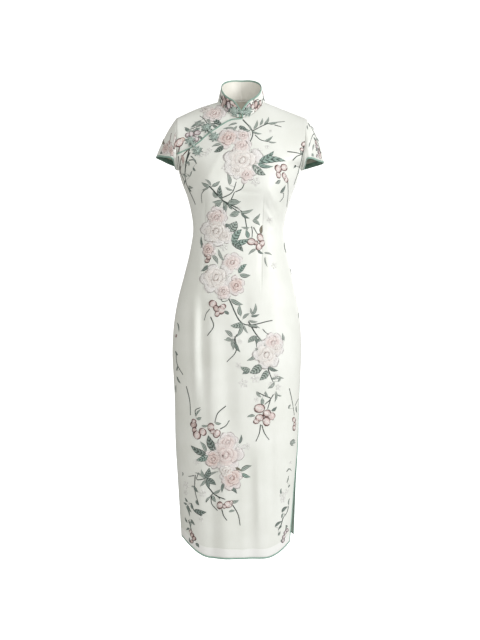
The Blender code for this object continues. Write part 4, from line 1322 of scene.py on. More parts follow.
class Needlework:
    """Stitched shapes on one surface, gathered into one mesh of closed low pads.

    reach is how many of the surface's units make a metre on the cloth.
    """

    def __init__(self, surface, reach=1.0):
        self.surface = surface
        self.reach = reach
        self.flats, self.faces, self.tints, self.threads = [], [], [], []
        self.count = 0

    def size_at(self, x, z):
        return cloth_scale(self.surface, np.array([x]), np.array([z]))[0]

    def strip(self, line, half, colors, pad, lift, size=None, bars=0):
        """A pad along a line, of half its width, its edge, fill and vein colours and its lift.

        bars is the number of slanting side veins on each half of a big leaf.
        """
        line = np.array(line, float)
        half = np.maximum(np.array(half, float), FINEST)
        if size is None:
            size = cloth_scale(self.surface, line[:, 0], line[:, 1])
        ahead = np.gradient(line, axis=0) * size
        steps = np.linalg.norm(ahead, axis=-1)
        run = np.cumsum(steps)
        ahead = unit(ahead)
        aside = np.stack([ahead[:, 1], -ahead[:, 0]], -1)
        edge, fill, vein = (np.array(color) for color in colors)
        flats, tints, threads = [], [], []
        for ridge in pad.ridges:
            flat = line + aside * (half * ridge.off)[:, None] / size
            height = lift + pad.rise * ridge.height * np.minimum(half / FULL_PAD, 1.0)
            height = np.where(ridge.height > 0, height, PAD_FOOT + 0 * height)
            flats.append(np.concatenate([flat, height[:, None]], -1))
            color = vein if ridge.fill < 0 else edge + (fill - edge) * ridge.fill
            shades = np.tile(color, (len(line), 1))
            if bars and ridge.fill > 0.3:
                phase = np.linspace(0, bars, len(line)) - 0.8 * abs(ridge.off)
                bar = 0.95 * ease(np.sin(2 * math.pi * phase), 0.0, 0.7)[:, None]
                shades = shades + (vein - shades) * bar
            tints.append(shades)
            across = half * ridge.off
            slant = (run - pad.lean * np.abs(across), across) if pad.lean else (across, run)
            threads.append(np.stack(slant, -1))
        rows, cols = len(line), len(pad.ridges)
        start = self.count
        self.flats.append(np.stack(flats, 1).reshape(-1, 3))
        self.tints.append(np.stack(tints, 1).reshape(-1, 3))
        self.threads.append(np.stack(threads, 1).reshape(-1, 2))
        for row in range(rows - 1):
            low = start + row * cols
            high = low + cols
            for col in range(cols - 1):
                self.faces.append((low + col, high + col, high + col + 1, low + col + 1))
            self.faces.append((low + cols - 1, high + cols - 1, high, low))
        self.faces.append(tuple(start + col for col in range(cols)))
        self.faces.append(tuple(start + (rows - 1) * cols + col for col in reversed(range(cols))))
        self.count += rows * cols

    def outline(self, line, half, color, lift, rise, size=None):
        """A line of stem stitch."""
        self.strip(line, half, (color,) * 3, Pad(STEM_RIDGES, rise, STEM_LEAN), lift, size)

    def leaf(self, x, z, tip_x, tip_z, width, shade):
        """A pointed leaf with a vein; its threads slant out towards the tip."""
        thread = THREADS[shade]
        base, tip = np.array([x, z]), np.array([tip_x, tip_z])
        size = self.size_at((x + tip_x) / 2, (z + tip_z) / 2)
        run = (tip - base) * size
        length = np.linalg.norm(run)
        big = width >= BIG_LEAF_WIDTH * MM
        t = np.linspace(0, 1, 37 if big else 9)
        bow = (0.10 if int(abs(x * 1e3) + abs(z * 1e3)) % 2 else -0.10) * length
        aside = np.array([run[1], -run[0]]) / length / size
        line = base + (tip - base) * t[:, None] + aside * (bow * np.sin(math.pi * t))[:, None]
        half = width / 2 * np.sin(math.pi * np.minimum(t**0.8 * 1.02, 1)) ** 0.85
        half = half + 0.0003 * (1 - t)
        if big:
            half = half * (1 + 0.10 * (1 - (t * LEAF_VEINS) % 1))
            colors = (thread.line, thread.fill, thread.line)
            self.strip(line, half, colors, BIG_LEAF_PAD, LEAF_LIFT, size, LEAF_VEINS)
        else:
            colors = (thread.edge, thread.fill, thread.line)
            self.strip(line, half, colors, LEAF_PAD, LEAF_LIFT, size)

    def stem(self, width, shade, path):
        """A stalk in stem stitch: a smooth line through the points, thinner at its end."""
        path = np.array(path, float)
        lengths = np.concatenate([[0], np.cumsum(np.linalg.norm(np.diff(path, axis=0), axis=-1))])
        slopes = np.gradient(path, lengths, axis=0)
        line = []
        for index in range(len(path) - 1):
            span = lengths[index + 1] - lengths[index]
            steps = max(3, int(span / self.reach / STEM_PIECE))
            for t in np.linspace(0, 1, steps, endpoint=index == len(path) - 2):
                line.append(curve(t, span, *path[index : index + 2], *slopes[index : index + 2]))
        half = width / 2 * np.linspace(1.0, 0.7, len(line))
        self.outline(line, half, THREADS[shade].line, STEM_LIFT, STEM_RISE)

    def around(self, x, z, size, radii, angles):
        """Points round a middle, at these radii in metres on the cloth."""
        offs = np.stack([np.sin(angles) * radii, np.cos(angles) * radii], -1) / size
        return np.array([x, z]) + offs

    def petal_ring(self, x, z, size, ring, turn, thread, lift):
        """Broad uneven petals that overlap round a middle, each with a fine dark rim."""
        count, radius, half, span = ring
        tone = [0.75 * one + 0.25 * other for one, other in zip(thread.line, thread.fill)]
        for petal in range(count):
            start = turn + petal * 2 * math.pi / count + 0.25 * math.sin(petal * 5.1 + turn)
            t = np.linspace(0, 1, 11)
            angles = start + math.radians(span) * (t - 0.5)
            uneven = 1 + 0.13 * math.sin(petal * 2.4 + turn)
            wave = 0.04 * np.sin(t * (9 + 3 * (petal % 3)) + petal)
            radii = radius * uneven * (0.90 + 0.14 * np.sin(math.pi * t) + wave)
            line = self.around(x, z, size, radii, angles)
            halves = half * np.sin(math.pi * np.clip(t, 0.03, 0.97)) ** 0.45
            height = lift + 0.00012 * (petal % 3)
            colors = (thread.edge, thread.fill, thread.line)
            self.strip(line, halves, colors, PETAL_PAD, height, size)
            rim = self.around(x, z, size, radii + halves * 0.97, angles)
            drawn = slice(0, 8) if petal % 2 else slice(3, 11)
            fine = RIM_HALF * np.sin(math.pi * np.linspace(0.12, 0.88, 8))
            self.outline(rim[drawn], fine, tone, height + RIM_LIFT, RIM_RISE, size)

    def rose(self, x, z, radius, turn, shade):
        """A full rose: rings of broad petals that close in on a rolled heart."""
        thread = THREADS[shade]
        pale = Thread(*([0.45 * part + 0.50 for part in color] for color in thread))
        size = self.size_at(x, z)
        turn = math.radians(turn)
        rings = (
            (6, radius * 0.94, radius * 0.32, 58, pale),
            (5, radius * 0.62, radius * 0.33, 92, thread),
            (4, radius * 0.38, radius * 0.22, 112, thread),
        )
        for index, (*ring, floss_colors) in enumerate(rings):
            lift = ROSE_LIFT + ROSE_RING_LIFT * index
            self.petal_ring(x, z, size, ring, turn + index * 0.7, floss_colors, lift)
        self.disc(x, z, size, radius * 0.24, (thread.fill, thread.edge), HEART_LIFT)
        t = np.linspace(0, 1, 26)
        roll = self.around(x, z, size, radius * (0.05 + 0.25 * t), turn + t * 10.5)
        half = 0.00034 + 0.00014 * np.sin(t * 19)
        self.outline(roll, half, thread.line, ROLL_LIFT, STEM_RISE, size)

    def disc(self, x, z, size, radius, colors, lift, turn=0.6):
        """A round pad of satin stitch."""
        t = np.linspace(-0.97, 0.97, 7)
        along_disc = np.stack([np.sin(turn) * t * radius, np.cos(turn) * t * radius], -1)
        line = np.array([x, z]) + along_disc / size
        edge, fill = colors
        self.strip(line, radius * np.sqrt(1 - t**2), (edge, fill, fill), DISC_PAD, lift, size)

    def bud(self, x, z, radius, shade):
        """A round berry blossom: a padded middle ringed with a dark outline. The middle pales from
        a rosy rim to a near-white crown, partly the floss's colour and partly a painted highlight
        on the dome.
        """
        thread = THREADS[shade]
        size = self.size_at(x, z)
        turn = (x * 900 + z * 1300) % 6.28
        self.disc(x, z, size, radius * 0.94, (thread.edge, thread.fill), BUD_LIFT, turn)
        t = np.linspace(0, 1, 17)
        angles = turn + t * math.radians(350)
        radii = radius * (0.92 + 0.12 * np.sin(angles * 2 + turn))
        rim = self.around(x, z, size, radii, angles)
        half = np.minimum(BUD_RIM_HALF, radius * 0.25) * (0.7 + 0.3 * np.sin(math.pi * t))
        self.outline(rim, half, thread.line, BUD_RIM_LIFT, RIM_RISE, size)
        curl_turns = turn + 2.2 + t[:8] * 3.6
        curl = self.around(x, z, size, radius * (0.52 - 0.12 * t[:8]), curl_turns)
        self.outline(curl, CURL_HALF + 0 * t[:8], thread.line, CURL_LIFT, CURL_RISE, size)

    def shadow_sprigs(self, x, z):
        """Dark leaf tips under a frog, which show between its loops; their near-black thread is
        painted shade in the gaps between the loops.
        """
        size = self.size_at(x, z)
        reaches = np.array([SPRIG_START, SPRIG_TIP])
        for turn in np.arange(8) * math.pi / 4 + 0.30:
            start, tip = self.around(x, z, size, reaches, np.array([turn, turn]))
            self.leaf(*start, *tip, SPRIG_WIDTH, "shadow")

    def blossom(self, x, z, radius):
        """A small open blossom in threads nearly as white as the satin."""
        thread = THREADS["white"]
        size = self.size_at(x, z)
        turn = (x * 700 + z * 500) % 6.28
        t = np.linspace(0, 1, 7)
        for petal in range(5):
            angle = turn + petal * 2 * math.pi / 5
            line = self.around(x, z, size, radius * (0.18 + 0.80 * t), angle + 0 * t)
            half = radius * 0.30 * np.sin(math.pi * np.clip(t, 0.03, 0.95) ** 1.3) ** 0.7
            colors = (thread.edge, thread.fill, thread.line)
            self.strip(line, half, colors, SMALL_PETAL_PAD, BLOSSOM_LIFT, size)
        self.disc(x, z, size, radius * 0.16, (thread.line, thread.edge), BLOSSOM_HEART_LIFT)

    def piece(self, name):
        """The mesh of everything stitched so far."""
        flats = np.concatenate(self.flats)
        tints = np.concatenate(self.tints)
        threads = np.concatenate(self.threads)
        points = raised(self.surface, flats[:, 0], flats[:, 1], flats[:, 2:])
        mesh = skin(name, points, self.faces)
        rgba = np.concatenate([tints, np.ones((len(tints), 1))], -1)
        store(mesh.attributes.new("tint", "FLOAT_COLOR", "POINT").data, "color", rgba)
        store(mesh.uv_layers.new(name="thread").data, "uv", threads[corners(mesh)])
        return shown(name, mesh, (floss,), "satin")


# Places in millimetres across and up the panel, as it is seen from in front. Leaves'
# widths and flowers' radii are in millimetres too, a stalk's width in STALK_STEPs.
STALK_STEP = 0.00035
Leaf = namedtuple("Leaf", "x z tip_x tip_z width shade")
Stem = namedtuple("Stem", "width shade path")
Rose = namedtuple("Rose", "x z radius turn shade")
Bud = namedtuple("Bud", "x z radius shade")
Blossom = namedtuple("Blossom", "x z radius")


def shaded(kind, **tables):
    """The rows of a table for each shade of thread."""
    return [kind(*row, shade) for shade, table in tables.items() for row in table]


def stalks(**tables):
    """Stalks by shade. A row is a width, then across and up at the start, middle and end."""
    return [
        Stem(width, shade, tuple(zip(places[::2], places[1::2])))
        for shade, table in tables.items() for width, *places in table
    ]


LEAVES = shaded(
    Leaf,
    sage=(
        (33, -82, 42, -55, 7), (49, -70, 55, -49, 6), (60, -67, 72, -44, 7),
        (68, -63, 97, -57, 7), (28, -87, 55, -94, 6), (25, -86, 2, -96, 6),
        (61, -114, 83, -98, 7), (34, -179, 67, -205, 18), (-75, -233, -96, -221, 9),
        (-70, -233, -49, -220, 9), (-55, -261, -67, -246, 9), (-44, -268, -68, -271, 9),
        (-45, -270, -61, -285, 9), (-40, -272, -32, -293, 9), (-29, -272, 5, -270, 11),
        (4, -297, 36, -289, 8), (0, -298, -23, -306, 9), (-102, -65, -124, -68, 7),
        (-89, -71, -104, -86, 7), (-41, -269, -68, -271, 7), (-45, -274, -62, -291, 9),
        (-28, -272, 3, -272, 10), (3, -296, -24, -305, 8), (5, -296, 36, -290, 7),
        (37, -316, 54, -299, 7), (35, -317, 55, -329, 9), (-26, -343, -5, -318, 22),
        (4, -455, 32, -456, 11), (-16, -517, 15, -531, 11), (10, -560, 7, -531, 11),
        (16, -578, -17, -584, 13), (13, -581, -1, -613, 10), (41, -556, 46, -528, 8),
        (52, -613, 30, -626, 12), (49, -614, 28, -628, 12), (55, -614, 76, -638, 8),
        (61, -683, 32, -704, 20), (34, -696, 9, -688, 12), (77, -697, 57, -723, 14),
        (80, -703, 74, -720, 10), (64, -768, 61, -789, 9), (46, -813, 25, -816, 7),
        (-105, -815, -91, -797, 5), (-103, -822, -90, -818, 8), (-90, -839, -73, -838, 6),
        (-55, -830, -39, -832, 7), (-79, -906, -94, -880, 10), (10, -954, 38, -940, 11),
        (-81, -973, -91, -951, 8), (-82, -978, -95, -995, 7), (-60, -1011, -41, -999, 7),
        (-62, -1017, -54, -1034, 10), (-15, -1032, 5, -1027, 8), (-21, -1057, -5, -1055, 6),
        (-121, -1105, -118, -1085, 6), (133, -1049, 136, -1032, 5), (116, -1068, 113, -1080, 6),
        (104, -1123, 110, -1113, 6), (130, -1103, 124, -1109, 6),
    ),
    dark=(
        (-3, -74, 19, -85, 12), (-43, -127, -66, -144, 14), (104, -245, 118, -224, 9),
        (147, -172, 139, -179, 5), (154, -178, 151, -191, 5), (-45, -265, -48, -230, 12),
        (-25, -274, -17, -290, 8), (-132, -169, -141, -164, 5), (-133, -84, -146, -71, 7),
        (-50, -66, -73, -46, 13), (-116, -60, -130, -72, 7), (-103, -53, -119, -58, 6),
        (-122, -82, -133, -97, 8), (-142, -73, -136, -84, 7), (-109, -97, -96, -109, 7),
        (-74, -68, -59, -78, 8), (-105, -76, -123, -85, 8), (-76, -80, -86, -93, 8),
        (-139, -208, -145, -217, 7), (-119, -180, -112, -190, 6), (-132, -227, -124, -238, 7),
        (-39, -279, -39, -305, 9), (-26, -273, -17, -289, 8), (6, -299, 28, -312, 7),
        (-25, -340, -34, -325, 12), (-17, -375, 12, -397, 14), (48, -391, 64, -401, 7),
        (-91, -385, -96, -354, 8), (-84, -379, -98, -385, 6), (-78, -430, -95, -445, 10),
        (-21, -556, -35, -548, 8), (35, -560, 57, -555, 6), (47, -615, 52, -636, 9),
        (119, -368, 124, -395, 5), (-155, -577, -150, -601, 5), (-4, -627, 9, -651, 9),
        (50, -616, 50, -644, 9), (33, -700, 14, -707, 10), (79, -688, 106, -699, 9),
        (88, -801, 102, -791, 8), (154, -795, 156, -812, 6), (-153, -661, -160, -650, 6),
        (-156, -702, -152, -689, 6), (-156, -717, -145, -734, 6), (-159, -740, -159, -760, 5),
        (-54, -902, -73, -862, 20), (-77, -911, -119, -891, 15), (5, -884, 11, -860, 7),
        (-31, -982, -38, -1008, 8), (-23, -991, 0, -1011, 11), (-81, -974, -71, -946, 14),
        (-80, -978, -53, -990, 14), (-80, -980, -72, -1001, 10), (-110, -997, -99, -1011, 8),
        (-105, -1032, -98, -1044, 8), (-128, -1040, -135, -1030, 6),
        (-130, -1046, -139, -1044, 6), (-129, -1048, -118, -1065, 7),
        (-132, -1052, -123, -1077, 6), (-110, -1057, -78, -1060, 12),
        (-114, -1056, -118, -1041, 8), (-109, -1061, -89, -1071, 8),
        (-130, -1094, -136, -1082, 6), (-119, -1084, -109, -1097, 7),
        (-124, -1109, -133, -1115, 6), (-108, -1144, -99, -1154, 8),
        (-123, -1145, -124, -1132, 5), (113, -1017, 114, -1002, 5), (114, -1064, 131, -1053, 9),
        (96, -1100, 116, -1088, 7), (113, -1097, 105, -1106, 6), (111, -1141, 119, -1136, 6),
        (137, -998, 132, -1004, 4),
    ),
    grey=(
        (26, -85, 19, -70, 5), (71, -114, 93, -115, 5), (-14, -83, -46, -81, 8),
        (-9, -66, -32, -74, 6), (-9, -74, -19, -93, 6), (-48, -123, -72, -129, 8),
        (104, -214, 90, -224, 9), (161, -143, 155, -133, 4), (-72, -231, -87, -215, 6),
        (-76, -234, -96, -240, 5), (-25, -230, -31, -201, 10), (-35, -236, -15, -243, 5),
        (-93, -59, -121, -56, 8), (-112, -78, -126, -82, 6), (-81, -50, -95, -38, 6),
        (-85, -50, -78, -62, 7), (-123, -88, -138, -80, 7), (-155, -170, -157, -178, 7),
        (-147, -190, -134, -200, 6), (-132, -223, -119, -230, 6), (-133, -163, -130, -175, 6),
        (-126, -200, -121, -188, 5), (-134, -195, -125, -201, 3), (-111, -165, -121, -152, 4),
        (27, -335, 6, -333, 6), (45, -390, 25, -405, 7), (65, -399, 86, -404, 5),
        (68, -409, 75, -435, 4), (-51, -390, -32, -424, 7), (-67, -405, -52, -428, 10),
        (15, -567, 32, -553, 8), (17, -582, 29, -604, 6), (30, -571, 53, -574, 6),
        (42, -558, 34, -539, 6), (29, -585, 59, -591, 7), (-12, -613, -31, -596, 10),
        (-6, -618, -33, -619, 6), (116, -623, 116, -603, 7), (135, -435, 139, -451, 3),
        (160, -551, 162, -566, 3), (-27, -619, -15, -617, 7), (-14, -622, -9, -646, 10),
        (116, -608, 121, -624, 6), (54, -652, 25, -673, 10), (56, -655, 46, -641, 8),
        (87, -721, 121, -720, 8), (96, -728, 78, -744, 9), (104, -727, 113, -715, 6),
        (50, -751, 62, -766, 7), (72, -751, 81, -768, 6), (100, -752, 96, -780, 7),
        (104, -761, 115, -764, 4), (133, -799, 139, -788, 6), (151, -884, 138, -889, 10),
        (-82, -975, -108, -961, 5), (-78, -974, -46, -955, 6), (-110, -999, -118, -998, 4),
        (-68, -1021, -81, -1036, 5), (-141, -974, -141, -964, 5), (138, -883, 153, -889, 8),
        (137, -886, 147, -896, 6), (130, -958, 139, -955, 4), (129, -988, 133, -974, 4),
    ),
    teal=(
        (48, -169, 87, -139, 15), (50, -174, 119, -165, 17), (42, -175, 86, -181, 11),
        (-15, -375, 9, -339, 18), (-11, -374, 29, -363, 14), (-22, -352, -5, -361, 10),
        (23, -362, 18, -341, 11), (2, -452, 22, -428, 12), (-74, -914, -105, -928, 14),
        (-74, -918, -90, -930, 9), (12, -959, 35, -969, 10),
    ),
    brown=((-150, -146, -146, -170, 9),),
    olive=((58, -350, 61, -327, 9), (-11, -945, 13, -954, 7),),
)
STEMS = stalks(
    sage=(
        (12, 5, -56, 31, -92, 21, -128), (9, 29, -88, 73, -63, 114, -55),
        (9, -61, -64, -96, -66, -131, -77), (11, -76, -233, -40, -269, 2, -298),
        (9, -45, -263, -18, -248, -8, -222), (9, -10, -247, 6, -239, 13, -222),
        (8, -20, -265, -12, -247), (11, -38, -270, 11, -300, 22, -342),
        (11, -22, -516, 17, -580, 90, -571), (11, 29, -574, 48, -605, 71, -632),
        (9, -5, -612, -2, -649, -25, -676), (9, 93, -760, 84, -773, 71, -784),
        (9, 85, -768, 68, -761, 51, -752), (9, 85, -773, 78, -796),
        (9, 60, -835, 57, -857, 48, -878), (9, 63, -836, 70, -857, 82, -875),
        (9, -105, -815, -106, -800, -93, -793), (9, -28, -788, -49, -807, -56, -830),
        (9, -42, -846, -28, -838, -19, -824),
    ),
    grey=(
        (9, 37, -98, 52, -111, 71, -115), (11, 165, -110, 158, -165, 142, -218),
        (9, 121, -139, 140, -140, 159, -143), (9, 136, -161, 146, -150, 159, -144),
        (8, 114, -243, 112, -257, 104, -267), (9, 87, -67, 105, -71),
        (8, -87, -62, -96, -49, -107, -39), (9, -125, -151, -116, -160, -110, -171),
        (9, -77, -235, -95, -248, -95, -272), (9, 33, -332, 35, -346, 34, -360),
        (9, 38, -334, 48, -351), (8, -43, -508, -38, -523, -24, -521),
        (8, -70, -542, -79, -555, -83, -571), (8, 51, -590, 30, -586),
        (8, 65, -593, 76, -604, 90, -608), (9, 1, -606, -6, -618, -6, -632),
        (7, 90, -812, 95, -818, 91, -826), (9, 135, -746, 143, -781, 149, -817),
        (8, 160, -777, 151, -791), (10, -130, -740, -121, -777, -119, -814),
        (9, -82, -975, -103, -978, -98, -960), (8, -61, -1011, -79, -1035),
        (8, -53, -1015, -43, -1025), (8, -110, -969, -125, -973),
        (8, 128, -961, 136, -955, 141, -961), (8, 129, -990, 134, -973),
        (9, 126, -1100, 124, -1116),
    ),
    dark=(
        (9, 124, -214, 126, -244, 124, -275), (9, -128, -141, -137, -167, -141, -195),
        (8, -130, -161, -117, -162, -110, -172), (12, -130, -131, -141, -200, -113, -272),
        (9, -158, -148, -155, -180, -143, -210), (9, -67, -562, -59, -584, -75, -610),
        (10, 79, -693, 85, -710, 91, -726), (10, -158, -652, -155, -684, -139, -711),
        (9, -107, -967, -108, -1007, -98, -1044), (11, -75, -994, -56, -1015, -30, -1025),
        (9, -66, -1016, -65, -1038, -50, -1055), (9, -11, -1040, 2, -1064, 7, -1092),
        (9, -39, -1051, -35, -1066, -26, -1079), (10, -118, -1042, -110, -1061, -92, -1071),
        (10, -126, -1087, -120, -1108, -116, -1130), (9, 118, -1079, 113, -1095, 105, -1109),
        (9, 133, -1053, 128, -1068, 118, -1079),
    ),
    brown=((10, -132, -131, -151, -156, -155, -187), (9, -154, -119, -159, -138, -155, -158),),
)
ROSES = shaded(
    Rose,
    dusty=(
        (-31, -107, 23, 10), (-77, -390, 16, 250), (-4, -483, 19, 300), (-60, -924, 21, 250),
        (-13, -971, 24, 310),
    ),
    pink=(
        (4, -128, 19, 60), (7, -102, 15, 200), (18, -204, 17, 20), (-69, -34, 23, 80),
        (-57, -309, 23, 40), (-16, -425, 21, 15), (-36, -498, 18, 210), (91, -628, 21, 30),
        (-24, -880, 21, 20), (-28, -913, 33, 140),
    ),
    pale=(
        (7, -168, 38, 120), (-5, -193, 18, 80), (-90, -22, 14, 190), (-58, -344, 31, 160),
        (-33, -356, 17, 60), (-56, -463, 32, 100), (75, -659, 30, 200), (100, -642, 16, 100),
        (-26, -953, 17, 40),
    ),
)
BUDS = shaded(
    Bud,
    rose=(
        (98, -186, 10), (113, -181, 10), (99, -202, 8), (114, -202, 8), (119, -210, 8),
        (163, -117, 6), (159, -131, 5), (-157, -113, 11), (32, -371, 10), (55, -360, 10),
        (60, -374, 8), (52, -384, 9), (-62, -529, 10), (-41, -545, 10), (-50, -554, 7),
        (-36, -536, 7), (-158, -611, 4), (57, -794, 13), (76, -807, 10), (57, -818, 10),
        (75, -828, 11), (49, -827, 7), (148, -829, 7), (148, -850, 7), (150, -840, 5),
        (-102, -864, 11), (-87, -855, 10), (-66, -842, 10), (-51, -858, 10), (-61, -853, 7),
        (-110, -829, 6), (-44, -1041, 9), (-23, -1038, 10), (-15, -1033, 5), (-33, -1043, 5),
        (-121, -1116, 5),
    ),
    peach=((-150, -105, 6),),
    mauve=(
        (-137, -93, 6), (-127, -91, 8), (-112, -88, 8), (-122, -103, 8), (-113, -105, 6),
        (123, -1119, 5), (119, -1130, 5), (117, -1139, 5), (128, -1114, 5),
    ),
    brown=(
        (44, -374, 6), (-82, -402, 6), (-76, -410, 7), (-80, -419, 6), (-53, -541, 8),
        (-111, -838, 9), (-109, -851, 7), (-117, -1124, 6), (-112, -1132, 6), (-118, -1141, 5),
    ),
    pink=((88, -815, 10),),
)
BLOSSOMS = [Blossom(*row) for row in (
    (-87, -146, 9), (-77, -138, 8), (-101, -151, 7), (-31, -186, 14), (35, -148, 13), (47, -141, 9),
    (41, -222, 12), (76, -85, 6), (69, -129, 6), (-22, -363, 11), (-1, -288, 7), (80, -314, 9),
    (92, -431, 9), (-36, -385, 10), (5, -684, 8), (17, -730, 12), (47, -719, 11), (100, -714, 9),
    (106, -741, 9), (87, -733, 7), (50, -771, 7), (8, -624, 6), (7, -897, 16), (26, -890, 9),
    (-103, -932, 9), (-88, -1012, 11), (-132, -997, 11), (-133, -1016, 8), (118, -1022, 12),
    (129, -1012, 7), (117, -1033, 8), (-92, -1079, 8), (139, -939, 5),
)]
MOTIFS = (LEAVES, STEMS, ROSES, BUDS, BLOSSOMS)


TWIG_REACHES = (2.0, 15)   # a twig bridges gaps in this range, in millimetres
TWIG_WIDTH = 2


def twigs(leaves, stems):
    """Short twigs that join small leaves to the nearest stalk, where they stand off it."""
    spots = np.concatenate([
        np.linspace(first, last, 9) for row in stems for first, last in zip(row.path, row.path[1:])
    ])
    joined = []
    for row in leaves:
        gaps = np.linalg.norm(spots - (row.x, row.z), axis=-1)
        near = gaps.argmin()
        if TWIG_REACHES[0] < gaps[near] < TWIG_REACHES[1] and row.width < BIG_LEAF_WIDTH:
            joined.append(Stem(TWIG_WIDTH, row.shade, (tuple(spots[near]), (row.x, row.z))))
    return joined


def stitch(work, mirror, leaves, stems, roses, buds, blossoms, unit_across=MM, start=0.0):
    """Work the tables' motifs on a surface; mirror turns them left for right."""
    def across(x):
        return start + mirror * x * unit_across

    if unit_across == MM:
        stems = stems + twigs(leaves, stems)
    for row in blossoms:
        work.blossom(across(row.x), row.z * MM, row.radius * MM)
    for row in stems:
        path = [(across(x), z * MM) for x, z in row.path]
        work.stem(row.width * STALK_STEP, row.shade, path)
    for row in leaves:
        tip = across(row.tip_x), row.tip_z * MM
        work.leaf(across(row.x), row.z * MM, *tip, row.width * MM, row.shade)
    for row in roses:
        work.rose(across(row.x), row.z * MM, row.radius * MM, row.turn, row.shade)
    for row in buds:
        work.bud(across(row.x), row.z * MM, row.radius * MM, row.shade)


def above_lap(row):
    """True for a motif on the small right front, clear above the lap's edge."""
    x, z = row.path[0] if isinstance(row, Stem) else (row.x, row.z)
    return x < LAP_EDGE[-1].x / MM and z * MM > float(lap_height(np.array(x * MM)))


def motifs(above):
    """The front's tables, of the small right front or of the main front."""
    return [[row for row in table if above_lap(row) == above] for table in MOTIFS]


front_work = Needlework(front_at)
stitch(front_work, 1, *motifs(False))
for high, low in lap_flowers:
    front_work.shadow_sprigs(*low)
front_needlework = front_work.piece("front_embroidery")
under_work = Needlework(underlap_at)
stitch(under_work, 1, *motifs(True))
for high, low in lap_flowers:
    under_work.shadow_sprigs(*high)
underlap_needlework = under_work.piece("small_front_embroidery")


# ---- Embroidery on the collar, sleeves and back -----------------------------------------
# The same flowers run on over the collar and the cap sleeves, worked before these were
# set in, so the seams and bindings cut across them. The back has the front's in reverse.
# Places are in degrees round the neck or the arm and thousandths of the way to the edge.

CUT_SHARE = 0.94          # motifs run in under the binding past this share of the way
SEAM_SHARE = 0.03         # and under the sleeve's seam short of this one
COLLAR_SEAM_SHARE = 0.04
COLLAR_TRIM = 0.0035
RUN_IN = 0.02             # share of the way that what runs in is drawn up to


def cut_off(share, low, high):
    """Shares past the cloth's edges are drawn in under its binding or its seam."""
    over = np.maximum(share - high, 0) / RUN_IN
    under = np.maximum(low - share, 0) / RUN_IN
    return np.clip(share, low, high) + RUN_IN * (over / (1 + over) - under / (1 + under))


COLLAR_MOTIFS = (
    shaded(
        Leaf,
        dark=(
            (-48, 860, -37, 750, 7), (-37, 240, -47, 250, 7), (-20, 660, -12, 530, 7),
            (34, 290, 27, 290, 7), (45, 350, 55, 350, 7), (-70, 350, -57, 190, 6),
            (-29, 370, -33, 20, 6), (77, 490, 99, 40, 7), (26, 750, 20, 660, 6),
        ),
        teal=((-14, 610, -25, 280, 10),),
        olive=((-29, 980, -32, 780, 6), (41, 970, 34, 770, 6),),
    ),
    stalks(
        dark=(
            (12, -83, 640, -65, 481, -31, 590), (11, -10, 500, -34, 311, -42, 20),
            (11, 23, 400, 34, 559, 62, 360), (9, 71, 330, 66, 169, 48, 20),
        ),
        brown=(
            (11, -67, 640, -53, 458, -14, 520), (10, -43, 940, -49, 480, -40, 20),
            (9, -33, 870, -39, 40), (9, 30, 700, 43, 730, 52, 620),
        ),
    ),
    [],
    shaded(
        Bud,
        brown=(
            (-49, 500, 9), (-40, 880, 7), (-52, 20, 7), (-16, 660, 7), (40, 450, 9), (48, 100, 7),
        ),
        mauve=((-34, 500, 9), (-38, 110, 7), (20, 570, 7),),
        rose=((-25, 760, 7), (-56, 720, 6), (31, 440, 8), (39, 40, 7), (55, 250, 7),),
        pink=((88, 610, 6),),
    ),
    [],
)
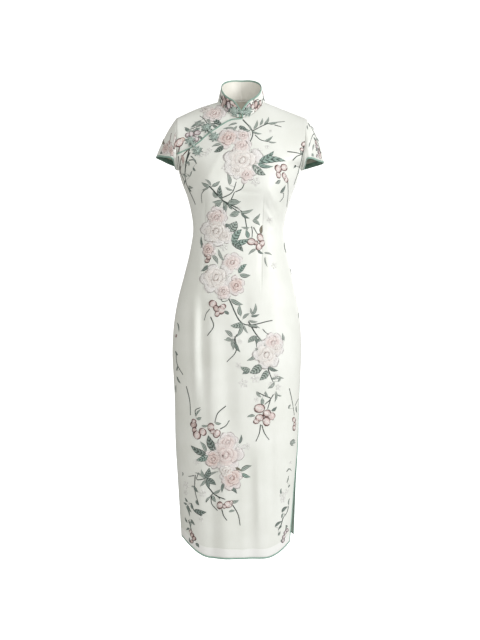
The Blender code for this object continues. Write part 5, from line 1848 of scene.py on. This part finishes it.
LEFT_SLEEVE_MOTIFS = (
    shaded(
        Leaf,
        grey=(
            (38, 200, 36, 90, 6), (35, 540, 8, 640, 7), (53, 640, 66, 780, 7),
            (35, 790, 21, 860, 6), (70, 490, 83, 570, 6),
        ),
        dark=(
            (45, 470, 34, 580, 6), (36, 730, 51, 790, 6), (58, 130, 48, 70, 6),
            (23, 230, 2, 370, 7),
        ),
        sage=((67, 980, 70, 850, 9),),
    ),
    stalks(
        grey=((10, 33, 110, 30, 545, 26, 980), (8, 30, 410, 62, 442, 72, 500),),
    ),
    [],
    shaded(
        Bud,
        mauve=((42, 700, 6), (36, 830, 6), (47, 930, 5),),
        rose=((33, 960, 6), (42, 610, 5),),
    ),
    [],
)
RIGHT_SLEEVE_MOTIFS = (
    shaded(
        Leaf,
        olive=((-11, 580, -49, 690, 9),),
        brown=((-60, 480, -61, 680, 9), (-87, 290, -109, 240, 8),),
        dark=((-44, 930, -36, 980, 6),),
    ),
    stalks(
        brown=((9, -52, 300, -60, 515, -57, 730), (8, -88, 20, -93, 325, -97, 630),),
    ),
    shaded(
        Rose,
        dusty=((-53, 770, 14, 10), (-86, 700, 11, 120),),
        pale=((-80, 20, 7, 200),),
    ),
    shaded(
        Bud,
        brown=((-98, 20, 8),),
    ),
    [],
)


def on_collar(turn, share):
    top = collar_share(turn % (2 * math.pi), COLLAR_TRIM) - RUN_IN
    return collar_at(turn, cut_off(share, COLLAR_SEAM_SHARE, top))


def on_sleeve(sleeve):
    """The surface of a sleeve, with turns counted from the shoulder to the front."""
    def surface(turn, share):
        return sleeve_at(sleeve, sleeve.side * turn, cut_off(share, SEAM_SHARE, CUT_SHARE))

    return surface


def back_at(x, height):
    return body_at(BACK, -x, height)


DEGREE = math.radians(1)
COLLAR_UNITS, SLEEVE_UNITS = 16.0, 14.0   # radians to a metre of cloth, roughly
collar_work = Needlework(on_collar, COLLAR_UNITS)
stitch(collar_work, 1, *COLLAR_MOTIFS, DEGREE)
stitch(collar_work, -1, *COLLAR_MOTIFS, DEGREE, math.pi)
collar_work.shadow_sprigs(frog_turn, COLLAR_FROG_SHARE)
collar_work.shadow_sprigs(2 * math.pi - frog_turn, COLLAR_FROG_SHARE)
collar_needlework = collar_work.piece("collar_embroidery")
for sleeve, table in zip(SLEEVES, (LEFT_SLEEVE_MOTIFS, RIGHT_SLEEVE_MOTIFS)):
    sleeve_work = Needlework(on_sleeve(sleeve), SLEEVE_UNITS)
    stitch(sleeve_work, 1, *table, DEGREE)
    stitch(sleeve_work, -1, *table, DEGREE)
    sleeve_work.piece(sleeve.name + "_embroidery")

back_work = Needlework(back_at)
stitch(back_work, -1, *MOTIFS)
back_needlework = back_work.piece("back_embroidery")
